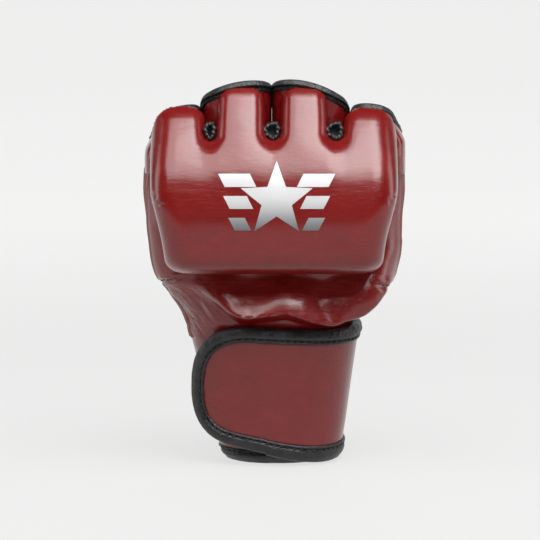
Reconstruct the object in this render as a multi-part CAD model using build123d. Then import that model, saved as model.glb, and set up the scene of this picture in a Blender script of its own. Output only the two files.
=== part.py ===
"""Left-hand open-palm grappling glove, standing on the hem of its wrist cuff with the fingers up.

Front (-Y) is the back of the hand, +X is the thumb side, +Z points along the fingers.
The leather shell is a stack of nested lofts.  Panels, bindings and the wrap strap are cut from that
stack, so every layer lies on its neighbour.
"""
import os
from math import radians, tan

from build123d import *

# ---------------------------------------------------------------- driving dimensions, millimetres
CUFF_HEIGHT = 74.0            # hem to the seam above the strap
CUFF_FOOT_WIDTH = 54.0
CUFF_FOOT_DEPTH = 44.0
CUFF_TOP_WIDTH = 83.5
CUFF_TOP_DEPTH = 58.0
CUFF_TOP_SHIFT = -4.25        # the cuff leans to the little-finger side as it widens
CUFF_SLIT_WIDTH = 8.0         # gap at the inner wrist that lets the hand in

HAND_BACK_HEIGHT = 24.0       # cuff seam to the lower edge of the knuckle pad
PALM_RISE = 31.0              # lower edge of the knuckle pad to the widest line of the palm
KNUCKLE_BLOCK_HEIGHT = 52.0   # lower edge of the knuckle pad to the line where the fingers flex
FLARE_WIDTH = 118.0
FLARE_DEPTH = 59.0
FLARE_LEAN = 1.5              # the flare stands this far in front of the cuff's centre plane
PALM_DEPTH = 50.0
PALM_LEAN = 2.8               # how far the back of the hand leans in from the flare to the palm
PALM_SHIFT = -0.75
FINGER_ROOT_DEPTH = 40.0
ROOT_TAPER = 1.0              # how much narrower the shell is at the finger roots than at the palm
ROOT_LEAN = 7.0               # how far the back of the hand leans in from the flare to the fingers

LEATHER = 1.4
LINING = 1.2
CUFF_PADDING = 2.6
BINDING = 1.1
BINDING_WIDTH = 7.5           # visible face of the strap binding
TRIM_WIDTH = 7.0              # visible face of the narrower bindings
HEM_FLOOR = 1.4               # thickness of the hem under the cut edge of the cuff

PAD_THICKNESS = 27.0          # foam and cover, in front of the hand shell
PAD_BULGE_RADIUS = 26.0
PAD_LOWER_CORNER = 9.0
PAD_FOOT_SETBACK = 4.0        # the pad's lower edge, behind its front
PAD_BELLY = 1.0               # the fullest line of the pad, in front of its front
PAD_BELLY_RISE = 15.6
PAD_CROWN_SETBACK = 1.0
PAD_SIDE_RADIUS = 16.0
PAD_INSET = 2.5               # pad edge inside the widest line of the palm
PAD_TAPER = 9.0               # each side runs in by this much towards the lower edge

FINGER_NAMES = ("pinky", "ring", "middle", "index")
FINGER_PITCHES = (27.0, 32.0, 31.5, 33.5)
FINGER_LENGTHS = (31.0, 39.0, 39.0, 31.0)   # flex line to the front of each finger mouth
FINGER_RIM_SLOPES = (0.35, 0.55, 0.55, 0.35)
SLIT_WIDTH = 6.5
SLIT_FLOOR = 11.0             # pad left uncut between the flex line and the bottom of a slit
STALL_GAP = 2.0               # air between the bindings of neighbouring stalls
STALL_WALL = 2.0
STALL_CORNER = 9.0
STALL_SETBACK = 3.0           # stall inside the front and back of the finger roots
LOBE_SIDE_RADIUS = 8.0
LOBE_TIP_THICKNESS = 2.0      # padding left in front of the finger mouth
FLEX_DEGREES = 25.0
FLEX_SPARE_DEGREES = 2.0

BACK_WRAP = 16.0              # the back of the hand turns this far round both sides
THUMB_SIDE_WRAP = 10.0        # the back panel turns this much further below the thumb
PALM_WRAP = 4.0               # the palm turns this far round both sides
PALM_BAR_HEIGHT = 18.0
HEEL_HEIGHT = 14.0
THUMB_OPENING_FOOT = 10.0     # above the cuff seam
THUMB_OPENING_HEIGHT = 24.0
INDEX_SEAM_RISE = 3.0         # seam under the index gusset, above the pad's lower edge

STRAP_STANDOFF = 3.0          # strap lining to cuff leather, filled by hook and loop at the front
STRAP_LINING = 1.0
STRAP_LEATHER = 1.6
STRAP_BINDING_PROUD = 0.6     # how far the binding stands off each face of the strap
STRAP_FOOT = 5.0
STRAP_TOP_MARGIN = 4.0        # strap below the cuff seam
STRAP_TIP_REACH = 44.0        # tip, to the little-finger side of the glove's centre plane
STRAP_TIP_UPPER_RADIUS = 26.0
STRAP_TIP_LOWER_RADIUS = 18.0
STRAP_TIP_RISE = 12.0         # the lower edge climbs this much on its way to the tip
STRAP_SLOPE_START = 6.0
STRAP_ANCHOR_EDGE = -24.0
STRAP_ANCHOR_WIDTH = 6.0
TIP_FOLD = -8.0               # where the tip folds away from the rest of the strap
HOOK_LOOP = 1.2
HOOK_INSET = 13.0             # hook and loop inside the strap's outline
LOOP_TO_TIP = 28.0            # loop patch from the fold towards the tip
LOOP_TO_BASE = 12.0           # loop patch from the fold towards the thumb side

BODY_GAP = 0.3                # air between bodies that move on each other
CORNER_SPARE = 1.2            # keeps rounded corners just short of a half circle
FAR = 300.0                   # larger than the glove in every direction

# ---------------------------------------------------------------- heights and stations
PAD_FOOT_Z = CUFF_HEIGHT + HAND_BACK_HEIGHT
PALM_Z = PAD_FOOT_Z + PALM_RISE
FLEX_Z = PAD_FOOT_Z + KNUCKLE_BLOCK_HEIGHT
PAD_WIDTH = sum(FINGER_PITCHES)
PALM_WIDTH = PAD_WIDTH + 2 * PAD_INSET
FLARE_FRONT = -FLARE_DEPTH / 2 - FLARE_LEAN
PALM_FRONT = FLARE_FRONT + PALM_LEAN
ROOT_FRONT = FLARE_FRONT + ROOT_LEAN
ROOT_BACK = ROOT_FRONT + FINGER_ROOT_DEPTH
GUSSET_FRONT = ROOT_FRONT + BACK_WRAP
GUSSET_BACK = ROOT_BACK - PALM_WRAP
FLEX_AXIS_Y = GUSSET_FRONT
STRAP_TOP = CUFF_HEIGHT - STRAP_TOP_MARGIN


def station(z, width, depth, shift, front, grow):
    """One rounded cross-section of the hand form, grown outwards by grow."""
    corner = min(width, depth) / 2 - CORNER_SPARE
    outline = RectangleRounded(width + 2 * grow, depth + 2 * grow, corner + grow)
    return Plane.XY.offset(z) * Pos(shift, front + depth / 2) * outline


def cuff_form(grow):
    """The tapered wrist, solid, grown outwards by grow."""
    foot = station(0, CUFF_FOOT_WIDTH, CUFF_FOOT_DEPTH, 0, -CUFF_FOOT_DEPTH / 2, grow)
    top = station(CUFF_HEIGHT, CUFF_TOP_WIDTH, CUFF_TOP_DEPTH, CUFF_TOP_SHIFT, -CUFF_TOP_DEPTH / 2, grow)
    return loft([foot, top], ruled=True)


def hand_form(grow):
    """The hand from the cuff seam to the finger roots, solid, grown outwards by grow."""
    stations = [
        station(CUFF_HEIGHT, CUFF_TOP_WIDTH, CUFF_TOP_DEPTH, CUFF_TOP_SHIFT, -CUFF_TOP_DEPTH / 2, grow),
        station(PAD_FOOT_Z, FLARE_WIDTH, FLARE_DEPTH, PALM_SHIFT, FLARE_FRONT, grow),
        station(PALM_Z, PALM_WIDTH, PALM_DEPTH, PALM_SHIFT, PALM_FRONT, grow),
        station(FLEX_Z, PALM_WIDTH - ROOT_TAPER, FINGER_ROOT_DEPTH, PALM_SHIFT, ROOT_FRONT, grow),
    ]
    return loft(stations, ruled=True)


def slab(x=(-FAR, FAR), y=(-FAR, FAR), z=(-FAR, FAR)):
    """A box from its low and high limits."""
    return Pos((x[0] + x[1]) / 2, (y[0] + y[1]) / 2, (z[0] + z[1]) / 2) * Box(
        x[1] - x[0], y[1] - y[0], z[1] - z[0]
    )


def across(outline, x0, x1):
    """A YZ outline run from x0 to x1."""
    return Pos(x0, 0, 0) * extrude(Plane.YZ * outline, x1 - x0)


def fore_and_aft(outline):
    """An XZ outline run right through the glove."""
    return Pos(0, FAR, 0) * extrude(Plane.XZ * outline, 2 * FAR)


def upright(outline):
    """An XY outline run right up the glove."""
    return extrude(outline, FAR)


def closed(points):
    """A polygon that keeps its points where they are."""
    return make_face(Polyline(*points, close=True))


def rounded(outline, corners):
    """Rounds the corners of an outline that lie nearest the given points."""
    for point, radius in corners:
        nearest = min(outline.vertices(), key=lambda v: (v.center() - Vector(*point, 0)).length)
        outline = fillet(nearest, radius)
    return outline


# ---------------------------------------------------------------- hand shell
hand_out, hand_mid, hand_in = hand_form(0), hand_form(-LEATHER), hand_form(-LEATHER - LINING)
hand_leather = hand_out - hand_mid
SHELL_TOP = FLEX_Z - BODY_GAP
FOREHAND = (CUFF_HEIGHT, SHELL_TOP)

THUMB_FOOT_Z = CUFF_HEIGHT + THUMB_OPENING_FOOT
THUMB_TOP_Z = THUMB_FOOT_Z + THUMB_OPENING_HEIGHT
HEEL_TOP_Z = CUFF_HEIGHT + HEEL_HEIGHT
BAR_FOOT_Z = SHELL_TOP - PALM_BAR_HEIGHT
WRAP_Y = GUSSET_FRONT + THUMB_SIDE_WRAP
INDEX_SEAM_Z = PAD_FOOT_Z + INDEX_SEAM_RISE

thumb_opening = slab(x=(0, FAR), y=(WRAP_Y, FAR), z=(THUMB_FOOT_Z, THUMB_TOP_Z))
palm_opening = slab(y=(GUSSET_BACK, FAR), z=(HEEL_TOP_Z, BAR_FOOT_Z))


def hand_panels():
    """Leather panels of the hand and the lining behind them."""
    back = slab(y=(-FAR, GUSSET_FRONT), z=(CUFF_HEIGHT, PAD_FOOT_Z))
    back += slab(x=(0, FAR), y=(GUSSET_FRONT, WRAP_Y), z=(CUFF_HEIGHT, INDEX_SEAM_Z))
    backing = slab(y=(-FAR, GUSSET_FRONT), z=(PAD_FOOT_Z, SHELL_TOP))
    pinky = slab(x=(-FAR, 0), y=(GUSSET_FRONT, GUSSET_BACK), z=FOREHAND)
    index = slab(x=(0, FAR), y=(GUSSET_FRONT, GUSSET_BACK), z=(INDEX_SEAM_Z, SHELL_TOP))
    bar = slab(y=(GUSSET_BACK, FAR), z=(BAR_FOOT_Z, SHELL_TOP))
    heel = slab(y=(GUSSET_BACK, FAR), z=(CUFF_HEIGHT, HEEL_TOP_Z))
    heel += slab(x=(0, FAR), y=(WRAP_Y, GUSSET_BACK), z=(CUFF_HEIGHT, THUMB_FOOT_Z))
    lining = (hand_mid - hand_in) & slab(z=FOREHAND)
    return {
        "hand_back_panel": hand_leather & back,
        "knuckle_backing": hand_leather & backing,
        "pinky_gusset": hand_leather & pinky,
        "index_gusset": (hand_leather & index) - thumb_opening,
        "palm_bar": hand_leather & bar,
        "heel_panel": (hand_leather & heel) - thumb_opening,
        "hand_lining": lining - thumb_opening - palm_opening,
    }


def hand_bindings():
    """Folded edging on the free edges of the palm and thumb openings."""
    stack = (hand_out - hand_in) & slab(z=FOREHAND)
    sleeve = hand_form(BINDING) - hand_form(-LEATHER - LINING - BINDING)
    bar_edge = slab(y=(GUSSET_BACK, FAR), z=(BAR_FOOT_Z - BINDING, BAR_FOOT_Z + TRIM_WIDTH))
    heel_edge = slab(y=(GUSSET_BACK, FAR), z=(HEEL_TOP_Z - TRIM_WIDTH, HEEL_TOP_Z + BINDING))
    heel_edge -= slab(x=(0, FAR), y=(-FAR, FAR), z=(THUMB_FOOT_Z, FAR))
    thumb_edge = slab(x=(0, FAR), y=(WRAP_Y - TRIM_WIDTH, WRAP_Y + BINDING), z=(THUMB_FOOT_Z, THUMB_TOP_Z))
    open_stack = stack - thumb_opening - palm_opening
    return {
        "palm_bar_binding": (sleeve & bar_edge) - open_stack,
        "heel_binding": (sleeve & heel_edge) - open_stack,
        "thumb_binding": (sleeve & thumb_edge) - open_stack,
    }


# ---------------------------------------------------------------- cuff
def cuff():
    """Wrist cuff: leather, padding and lining, bound at the hem and open at the inner wrist."""
    slit = slab(x=(-CUFF_SLIT_WIDTH / 2, CUFF_SLIT_WIDTH / 2), y=(0, FAR))
    tall = slab(z=(HEM_FLOOR, CUFF_HEIGHT)) - slit
    depths = (0, -LEATHER, -LEATHER - CUFF_PADDING, -LEATHER - CUFF_PADDING - LINING)
    forms = [cuff_form(depth) for depth in depths]
    stack = (forms[0] - forms[3]) & tall
    sleeve = cuff_form(BINDING) - cuff_form(depths[3] - BINDING)
    hem = (sleeve & slab(z=(0, TRIM_WIDTH))) - slit - stack
    loop_field = slab(
        x=(TIP_FOLD - LOOP_TO_TIP, TIP_FOLD + LOOP_TO_BASE),
        y=(-FAR, 0),
        z=(STRAP_FOOT + HOOK_INSET, STRAP_TOP - HOOK_INSET),
    )
    return {
        "cuff_leather": (forms[0] - forms[1]) & tall,
        "cuff_padding": (forms[1] - forms[2]) & tall,
        "cuff_lining": (forms[2] - forms[3]) & tall,
        "cuff_hem_binding": hem,
        "loop_patch": (cuff_form(HOOK_LOOP) - forms[0]) & loop_field,
    }


# ---------------------------------------------------------------- wrap strap
def strap_outline():
    """Front view of the strap, run far out to the thumb side so that only the tip is shaped."""
    tip_foot = STRAP_FOOT + STRAP_TIP_RISE
    outline = closed(
        [
            (FAR, STRAP_TOP),
            (-STRAP_TIP_REACH, STRAP_TOP),
            (-STRAP_TIP_REACH, tip_foot),
            (STRAP_SLOPE_START, STRAP_FOOT),
            (FAR, STRAP_FOOT),
        ]
    )
    return rounded(
        outline,
        [
            ((-STRAP_TIP_REACH, STRAP_TOP), STRAP_TIP_UPPER_RADIUS),
            ((-STRAP_TIP_REACH, tip_foot), STRAP_TIP_LOWER_RADIUS),
        ],
    )


def anchor_outline():
    """Back view of the strap, from its sewn end to far out on the thumb side."""
    return closed(
        [
            (STRAP_ANCHOR_EDGE, STRAP_FOOT),
            (FAR, STRAP_FOOT),
            (FAR, STRAP_TOP),
            (STRAP_ANCHOR_EDGE, STRAP_TOP),
        ]
    )


def strap():
    """The wrap strap in three stretches: sewn base, front, and the tip that peels first."""
    lining_at = STRAP_STANDOFF
    leather_at = lining_at + STRAP_LINING
    outside_at = leather_at + STRAP_LEATHER
    lining_ring = cuff_form(leather_at) - cuff_form(lining_at)
    leather_ring = cuff_form(outside_at) - cuff_form(leather_at)
    binding_ring = cuff_form(outside_at + STRAP_BINDING_PROUD) - cuff_form(lining_at - STRAP_BINDING_PROUD)
    stretches = {
        "strap_base": (anchor_outline(), slab(y=(BODY_GAP, FAR))),
        "strap_front": (strap_outline(), slab(x=(TIP_FOLD + BODY_GAP, FAR), y=(-FAR, -BODY_GAP))),
        "strap_tip": (strap_outline(), slab(x=(-FAR, TIP_FOLD - BODY_GAP), y=(-FAR, -BODY_GAP))),
    }
    made = {}
    for name, (outline, field) in stretches.items():
        whole = fore_and_aft(outline) & field
        trimmed = fore_and_aft(offset(outline, -BINDING)) & field
        inside = fore_and_aft(offset(outline, -BINDING_WIDTH)) & field
        leather = leather_ring & trimmed
        lining = lining_ring & trimmed
        made[name + "_leather"] = leather
        made[name + "_lining"] = lining
        made[name + "_binding"] = ((binding_ring & whole) - inside) - leather - lining
    hook_field = fore_and_aft(offset(strap_outline(), -HOOK_INSET)) & stretches["strap_tip"][1]
    hook_ring = cuff_form(STRAP_STANDOFF) - cuff_form(STRAP_STANDOFF - HOOK_LOOP)
    made["hook_patch"] = hook_ring & hook_field
    anchor_field = slab(
        x=(STRAP_ANCHOR_EDGE + BINDING_WIDTH, STRAP_ANCHOR_EDGE + BINDING_WIDTH + STRAP_ANCHOR_WIDTH),
        y=(0, FAR),
        z=(STRAP_FOOT + BINDING_WIDTH, STRAP_TOP - BINDING_WIDTH),
    )
    made["strap_anchor"] = (cuff_form(STRAP_STANDOFF) - cuff_form(0)) & anchor_field
    return made


# ---------------------------------------------------------------- knuckle pad and fingers
PAD_LEFT = PALM_SHIFT - PAD_WIDTH / 2
FINGER_EDGES = [PAD_LEFT]
for pitch in FINGER_PITCHES:
    FINGER_EDGES.append(FINGER_EDGES[-1] + pitch)
PAD_RIGHT = FINGER_EDGES[-1]
PAD_FRONT = PALM_FRONT - PAD_THICKNESS
STALL_FRONT = ROOT_FRONT + STALL_SETBACK
STALL_BACK = ROOT_BACK - STALL_SETBACK
FINGER_FOOT_Z = FLEX_Z + BODY_GAP


def pad_profile(top, inset):
    """Side view of the padding, from its foot over the knuckles to a finger tip, set in by inset."""
    front = PAD_FRONT + inset
    foot = PAD_FOOT_Z + inset
    crown = top - inset
    lower = (front + PAD_FOOT_SETBACK, foot)
    upper = (front + PAD_CROWN_SETBACK, FLEX_Z)
    outline = closed(
        [
            (0, foot),
            lower,
            (front - PAD_BELLY, foot + PAD_BELLY_RISE),
            upper,
            (STALL_FRONT - BINDING - LOBE_TIP_THICKNESS + inset, crown),
            (0, crown),
        ]
    )
    return rounded(outline, [(lower, PAD_LOWER_CORNER - inset), (upper, PAD_BULGE_RADIUS - inset)])


def knuckle_pad():
    """The one-piece pad across the knuckles: leather cover, open at the back, over a foam block."""
    layers = []
    for inset in (0, LEATHER):
        side = across(pad_profile(FLEX_Z + max(FINGER_LENGTHS), inset), -FAR, FAR)
        front = closed(
            [
                (PAD_LEFT + PAD_TAPER + inset, PAD_FOOT_Z),
                (PAD_RIGHT - PAD_TAPER - inset, PAD_FOOT_Z),
                (PAD_RIGHT - inset, PALM_Z),
                (PAD_RIGHT - inset, FLEX_Z),
                (PAD_LEFT + inset, FLEX_Z),
                (PAD_LEFT + inset, PALM_Z),
            ]
        )
        width = PAD_WIDTH - 2 * inset
        depth = -2 * (PAD_FRONT + inset)
        plan = Pos(PALM_SHIFT, 0) * RectangleRounded(width, depth, PAD_SIDE_RADIUS - inset)
        form = side & fore_and_aft(front) & upright(plan) & slab(y=(-FAR, GUSSET_FRONT), z=(0, SHELL_TOP))
        layers.append(form - hand_out)
    return {"knuckle_cover": layers[0] - layers[1], "knuckle_foam": layers[1]}


def finger(name, left, right, length, rim_slope):
    """One finger: padded lobe in front of a leather stall whose mouth is bound."""
    top = FLEX_Z + length
    stall_width = right - left - STALL_GAP - 2 * BINDING
    stall_depth = STALL_BACK - STALL_FRONT
    middle_x = (left + right) / 2
    middle_y = (STALL_FRONT + STALL_BACK) / 2

    def tube(grow):
        outline = RectangleRounded(stall_width + 2 * grow, stall_depth + 2 * grow, STALL_CORNER + grow)
        return upright(Pos(middle_x, middle_y) * outline)

    def rim(y, lift=0.0):
        return (y, top + lift - rim_slope * (y - STALL_FRONT))

    def wedge(y):
        return (y, FINGER_FOOT_Z + (y - FLEX_AXIS_Y) * tan(radians(FLEX_DEGREES + FLEX_SPARE_DEGREES)))

    near = STALL_FRONT - 2 * STALL_WALL
    far = STALL_BACK + 2 * STALL_WALL
    body_side = closed([(near, FINGER_FOOT_Z), (FLEX_AXIS_Y, FINGER_FOOT_Z), wedge(far), rim(far), rim(near)])
    band_side = closed([rim(near, -TRIM_WIDTH), rim(far, -TRIM_WIDTH), rim(far, BINDING), rim(near, BINDING)])
    stall = (tube(0) - tube(-STALL_WALL)) & across(body_side, left, right)
    band = (tube(BINDING) - tube(-STALL_WALL - BINDING)) & across(band_side, left, right)
    binding = band - stall

    slit_top = FLEX_Z + SLIT_FLOOR
    layers = []
    for inset in (0, LEATHER):
        wide = BODY_GAP + inset
        narrow = SLIT_WIDTH / 2 + inset
        left_inset = inset if name == FINGER_NAMES[0] else narrow
        right_inset = inset if name == FINGER_NAMES[-1] else narrow
        front = closed(
            [
                (left + wide, FINGER_FOOT_Z),
                (right - wide, FINGER_FOOT_Z),
                (right - wide, slit_top - SLIT_WIDTH),
                (right - right_inset, slit_top),
                (right - right_inset, FAR),
                (left + left_inset, FAR),
                (left + left_inset, slit_top),
                (left + wide, slit_top - SLIT_WIDTH),
            ]
        )
        width = right - left - 2 * wide
        depth = -2 * (PAD_FRONT + inset)
        plan = Pos(middle_x, 0) * RectangleRounded(width, depth, LOBE_SIDE_RADIUS - inset)
        side = across(pad_profile(top, inset), left, right)
        form = side & fore_and_aft(front) & upright(plan) & slab(y=(-FAR, STALL_FRONT), z=(FINGER_FOOT_Z, FAR))
        layers.append(form - tube(0) - band)
    return {
        name + "_cover": layers[0] - layers[1],
        name + "_foam": layers[1],
        name + "_stall": stall,
        name + "_binding": binding,
    }


# ---------------------------------------------------------------- assembly
def hinge_line(x_of_z, y_of_z):
    """Point at the hem's height and direction of a hinge that lies on the tapered strap."""
    low = Vector(x_of_z(0), y_of_z(0), 0)
    high = Vector(x_of_z(CUFF_HEIGHT), y_of_z(CUFF_HEIGHT), CUFF_HEIGHT)
    return low, (high - low).normalized()


def taper(foot, top):
    """A length that changes evenly from the hem to the cuff seam."""
    return lambda z: foot + (top - foot) * z / CUFF_HEIGHT


def main():
    parts = {}
    parts.update(hand_panels())
    parts.update(hand_bindings())
    parts.update(cuff())
    parts.update(strap())
    parts.update(knuckle_pad())
    for name, left, right, length, slope in zip(
        FINGER_NAMES, FINGER_EDGES, FINGER_EDGES[1:], FINGER_LENGTHS, FINGER_RIM_SLOPES
    ):
        parts.update(finger(name, left, right, length, slope))

    parts = {name: Compound(part.solids()) for name, part in parts.items()}
    bounds = Compound([solid for part in parts.values() for solid in part.solids()]).bounding_box()
    shift = Vector(-bounds.center().X, -bounds.center().Y, -bounds.min.Z)
    os.makedirs("parts", exist_ok=True)
    for name, part in parts.items():
        export_step(Pos(*shift) * part, f"parts/{name}.step")

    outside = STRAP_STANDOFF + STRAP_LINING + STRAP_LEATHER + STRAP_BINDING_PROUD + BODY_GAP
    right = taper(CUFF_FOOT_WIDTH / 2 + outside, CUFF_TOP_SHIFT + CUFF_TOP_WIDTH / 2 + outside)
    front = taper(-CUFF_FOOT_DEPTH / 2 - outside, -CUFF_TOP_DEPTH / 2 - outside)
    for name, line in {
        "strap_swing": hinge_line(right, lambda z: 0.0),
        "tip_peel": hinge_line(lambda z: TIP_FOLD, front),
    }.items():
        print(name, "point", tuple(line[0] + shift), "axis", tuple(line[1]))
    print("finger flex point", tuple(Vector(0, FLEX_AXIS_Y, FLEX_Z) + shift), "axis", (-1, 0, 0))
    print("shift", tuple(shift), "box", tuple(bounds.size))


main()
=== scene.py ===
"""Left-hand grappling glove: leather, padding, edgings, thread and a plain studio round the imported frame.

Lengths in the making are millimetres.  x is measured from the middle of the palm, y from the middle of the
wrist (the back of the hand is towards -y), and z from the hem.
"""
from math import cos, pi, radians, sin

import bmesh
import bpy
import numpy as np
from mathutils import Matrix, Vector


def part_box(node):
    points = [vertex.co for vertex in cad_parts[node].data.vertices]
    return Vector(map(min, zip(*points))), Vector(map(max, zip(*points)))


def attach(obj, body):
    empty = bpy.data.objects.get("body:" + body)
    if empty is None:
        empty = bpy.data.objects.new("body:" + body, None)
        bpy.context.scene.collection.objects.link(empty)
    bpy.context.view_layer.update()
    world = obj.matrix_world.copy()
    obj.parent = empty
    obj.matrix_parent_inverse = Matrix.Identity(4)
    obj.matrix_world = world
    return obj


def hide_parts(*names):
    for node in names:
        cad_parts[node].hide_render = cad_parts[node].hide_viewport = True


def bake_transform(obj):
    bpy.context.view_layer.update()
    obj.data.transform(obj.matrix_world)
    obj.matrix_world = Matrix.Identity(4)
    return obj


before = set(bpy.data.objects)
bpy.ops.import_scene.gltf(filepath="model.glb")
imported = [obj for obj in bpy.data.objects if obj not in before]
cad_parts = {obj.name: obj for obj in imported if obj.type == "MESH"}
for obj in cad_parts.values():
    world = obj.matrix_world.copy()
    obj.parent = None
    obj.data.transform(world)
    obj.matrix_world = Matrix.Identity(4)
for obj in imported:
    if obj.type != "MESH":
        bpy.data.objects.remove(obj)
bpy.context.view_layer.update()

# ---------------------------------------------------------------- places from the frame
MM = 0.001
FINGERS = ("pinky", "ring", "middle", "index")


def span(node, axis):
    """Low and high limit of a node along an axis, in the making's millimetres."""
    low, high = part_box(node)
    shift = WRIST_Y if axis == 1 else 0.0
    return low[axis] / MM - shift, high[axis] / MM - shift


WRIST_Y = 0.0
WRIST_Y = sum(span("cuff_leather", 1)) / 2      # the wrist's middle, once it is known
CUFF_TOP = span("cuff_leather", 2)[1]
PAD_FOOT = span("knuckle_cover", 2)[0]
PAD_LEFT, PAD_RIGHT = span("knuckle_cover", 0)
FLEX_Z = span("pinky_stall", 2)[0]
ROOT_TOP = span("pinky_gusset", 2)[1]
BAR_FOOT = span("palm_bar", 2)[0]
HEEL_TOP = span("heel_panel", 2)[1]
THUMB_FOOT, THUMB_TOP = span("thumb_binding", 2)
GUSSET_FRONT, GUSSET_BACK = span("pinky_gusset", 1)
WRAP_Y = span("hand_back_panel", 1)[1]
STRAP_FOOT, STRAP_TOP = span("strap_base_binding", 2)
STALL_FRONT, STALL_BACK = span("ring_stall", 1)

LEATHER = 1.4
LINING = 1.2


# ---------------------------------------------------------------- numbers
def smoothstep(low, high, x):
    """0 below low, 1 above high and an even curve between."""
    t = np.clip((x - low) / (high - low), 0.0, 1.0)
    return t * t * (3 - 2 * t)


def hump(x, middle, reach):
    """A smooth hump, 1 at its middle and 0 from reach outwards."""
    return 1 - smoothstep(0.0, reach, np.abs(x - middle))


def curve_through(knots, x):
    """Values at x of a smooth curve through (place, value) knots."""
    place, value = np.array(knots, float).T
    slope = np.gradient(value, place)
    k = np.clip(np.searchsorted(place, x) - 1, 0, len(place) - 2)
    step = place[k + 1] - place[k]
    t = np.clip((x - place[k]) / step, 0.0, 1.0)
    rise = value[k] * (2 * t**3 - 3 * t**2 + 1) + value[k + 1] * (3 * t**2 - 2 * t**3)
    return rise + step * (slope[k] * (t**3 - 2 * t**2 + t) + slope[k + 1] * (t**3 - t**2))


def lumps(points, size, seed):
    """Smooth noise from -1 to 1 at points, with lumps of the given size."""
    lattice = np.random.default_rng(seed).uniform(-1, 1, (32, 32, 32))
    q = np.asarray(points, float) / size
    cell = np.floor(q).astype(int)
    t = q - cell
    t = t * t * (3 - 2 * t)
    total = 0.0
    for corner in np.ndindex(2, 2, 2):
        share = np.prod(np.where(corner, t, 1 - t), axis=-1)
        i, j, k = np.moveaxis((cell + corner) % 32, -1, 0)
        total = total + share * lattice[i, j, k]
    return total


def unit(vectors):
    """Vectors brought to length 1."""
    return vectors / np.maximum(np.linalg.norm(vectors, axis=-1, keepdims=True), 1e-12)


# ---------------------------------------------------------------- surfaces that things lie on
class Skin:
    """A surface held as a table of points.  s runs round it, z runs up it and h stands off it.

    A skin without a start closes on itself, with s = 0 in front.
    """

    LEVEL = 1.0

    def __init__(self, foot, rows, lengths, start=None):
        self.foot = foot
        self.rows = rows
        self.lengths = lengths
        self.start = start
        round_it = np.gradient(rows, axis=1)
        if start is None:
            round_it = (np.roll(rows, -1, axis=1) - np.roll(rows, 1, axis=1)) / 2
        self.normals = unit(np.cross(round_it, np.gradient(rows, axis=0)))

    def length(self, z):
        """Length of the section at height z."""
        levels = self.foot + self.LEVEL * np.arange(len(self.lengths))
        return np.interp(z, levels, self.lengths)

    def look_up(self, table, s, z):
        """Values of a table of the skin's own shape, between its places."""
        count = self.rows.shape[1]
        level = np.clip((z - self.foot) / self.LEVEL, 0, len(self.rows) - 1.001)
        if self.start is None:
            place = (s / self.length(z) + 0.5) % 1.0 * count
        else:
            place = np.clip((s - self.start) / self.lengths[0], 0, 0.99999) * (count - 1)
        i = level.astype(int)
        j = place.astype(int)
        u = (level - i)[..., None]
        v = (place - j)[..., None]
        after = (j + 1) % count
        low = table[i, j % count] * (1 - v) + table[i, after] * v
        high = table[i + 1, j % count] * (1 - v) + table[i + 1, after] * v
        return low * (1 - u) + high * u

    def at(self, s, z, h=0.0):
        """Points at s round, z up and h out."""
        s, z, h = np.broadcast_arrays(np.asarray(s, float), np.asarray(z, float), np.asarray(h, float))
        return self.look_up(self.rows, s, z) + h[..., None] * unit(self.look_up(self.normals, s, z))

    def out(self, s, z):
        """Outward directions."""
        s, z = np.broadcast_arrays(np.asarray(s, float), np.asarray(z, float))
        return unit(self.look_up(self.normals, s, z))

    def where_y(self, z, y, side):
        """s of the place at depth y on the thumb side (1) or the little-finger side (-1)."""
        found = []
        for height in np.atleast_1d(z):
            s = side * np.linspace(0, 0.5, 400) * self.length(height)
            found.append(np.interp(y, self.at(s, np.full(400, height))[:, 1], s))
        return np.array(found)


def oval(half_width, half_depth, middle_x, middle_y, squareness, z, count):
    """Evenly spaced points round a rounded oval, and its girth.

    They run from the back round the little-finger side, the front and the thumb side.
    """
    angle = np.linspace(-pi, pi, 1441)
    power = 2 / squareness
    x = half_width * np.sign(np.sin(angle)) * np.abs(np.sin(angle)) ** power + middle_x
    y = -half_depth * np.sign(np.cos(angle)) * np.abs(np.cos(angle)) ** power + middle_y
    run = np.concatenate([[0], np.cumsum(np.hypot(np.diff(x), np.diff(y)))])
    even = np.linspace(0, run[-1], count, endpoint=False)
    points = np.stack([np.interp(even, run, x), np.interp(even, run, y), np.full(count, z)], -1)
    return points, run[-1]


def tube_skin(foot, top, stations, grow=0.0, count=720):
    """Skin of a tube through (z, half width, half depth, middle x, middle y, squareness) stations."""
    stations = np.array(stations, float)
    rows = []
    girths = []
    for z in np.arange(foot, top + Skin.LEVEL, Skin.LEVEL):
        sizes = [curve_through(stations[:, [0, k]], z) for k in range(1, 6)]
        row, girth = oval(sizes[0] + grow, sizes[1] + grow, sizes[2], sizes[3], sizes[4], z, count)
        rows.append(row)
        girths.append(girth)
    return Skin(foot, np.array(rows), np.array(girths))


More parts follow.
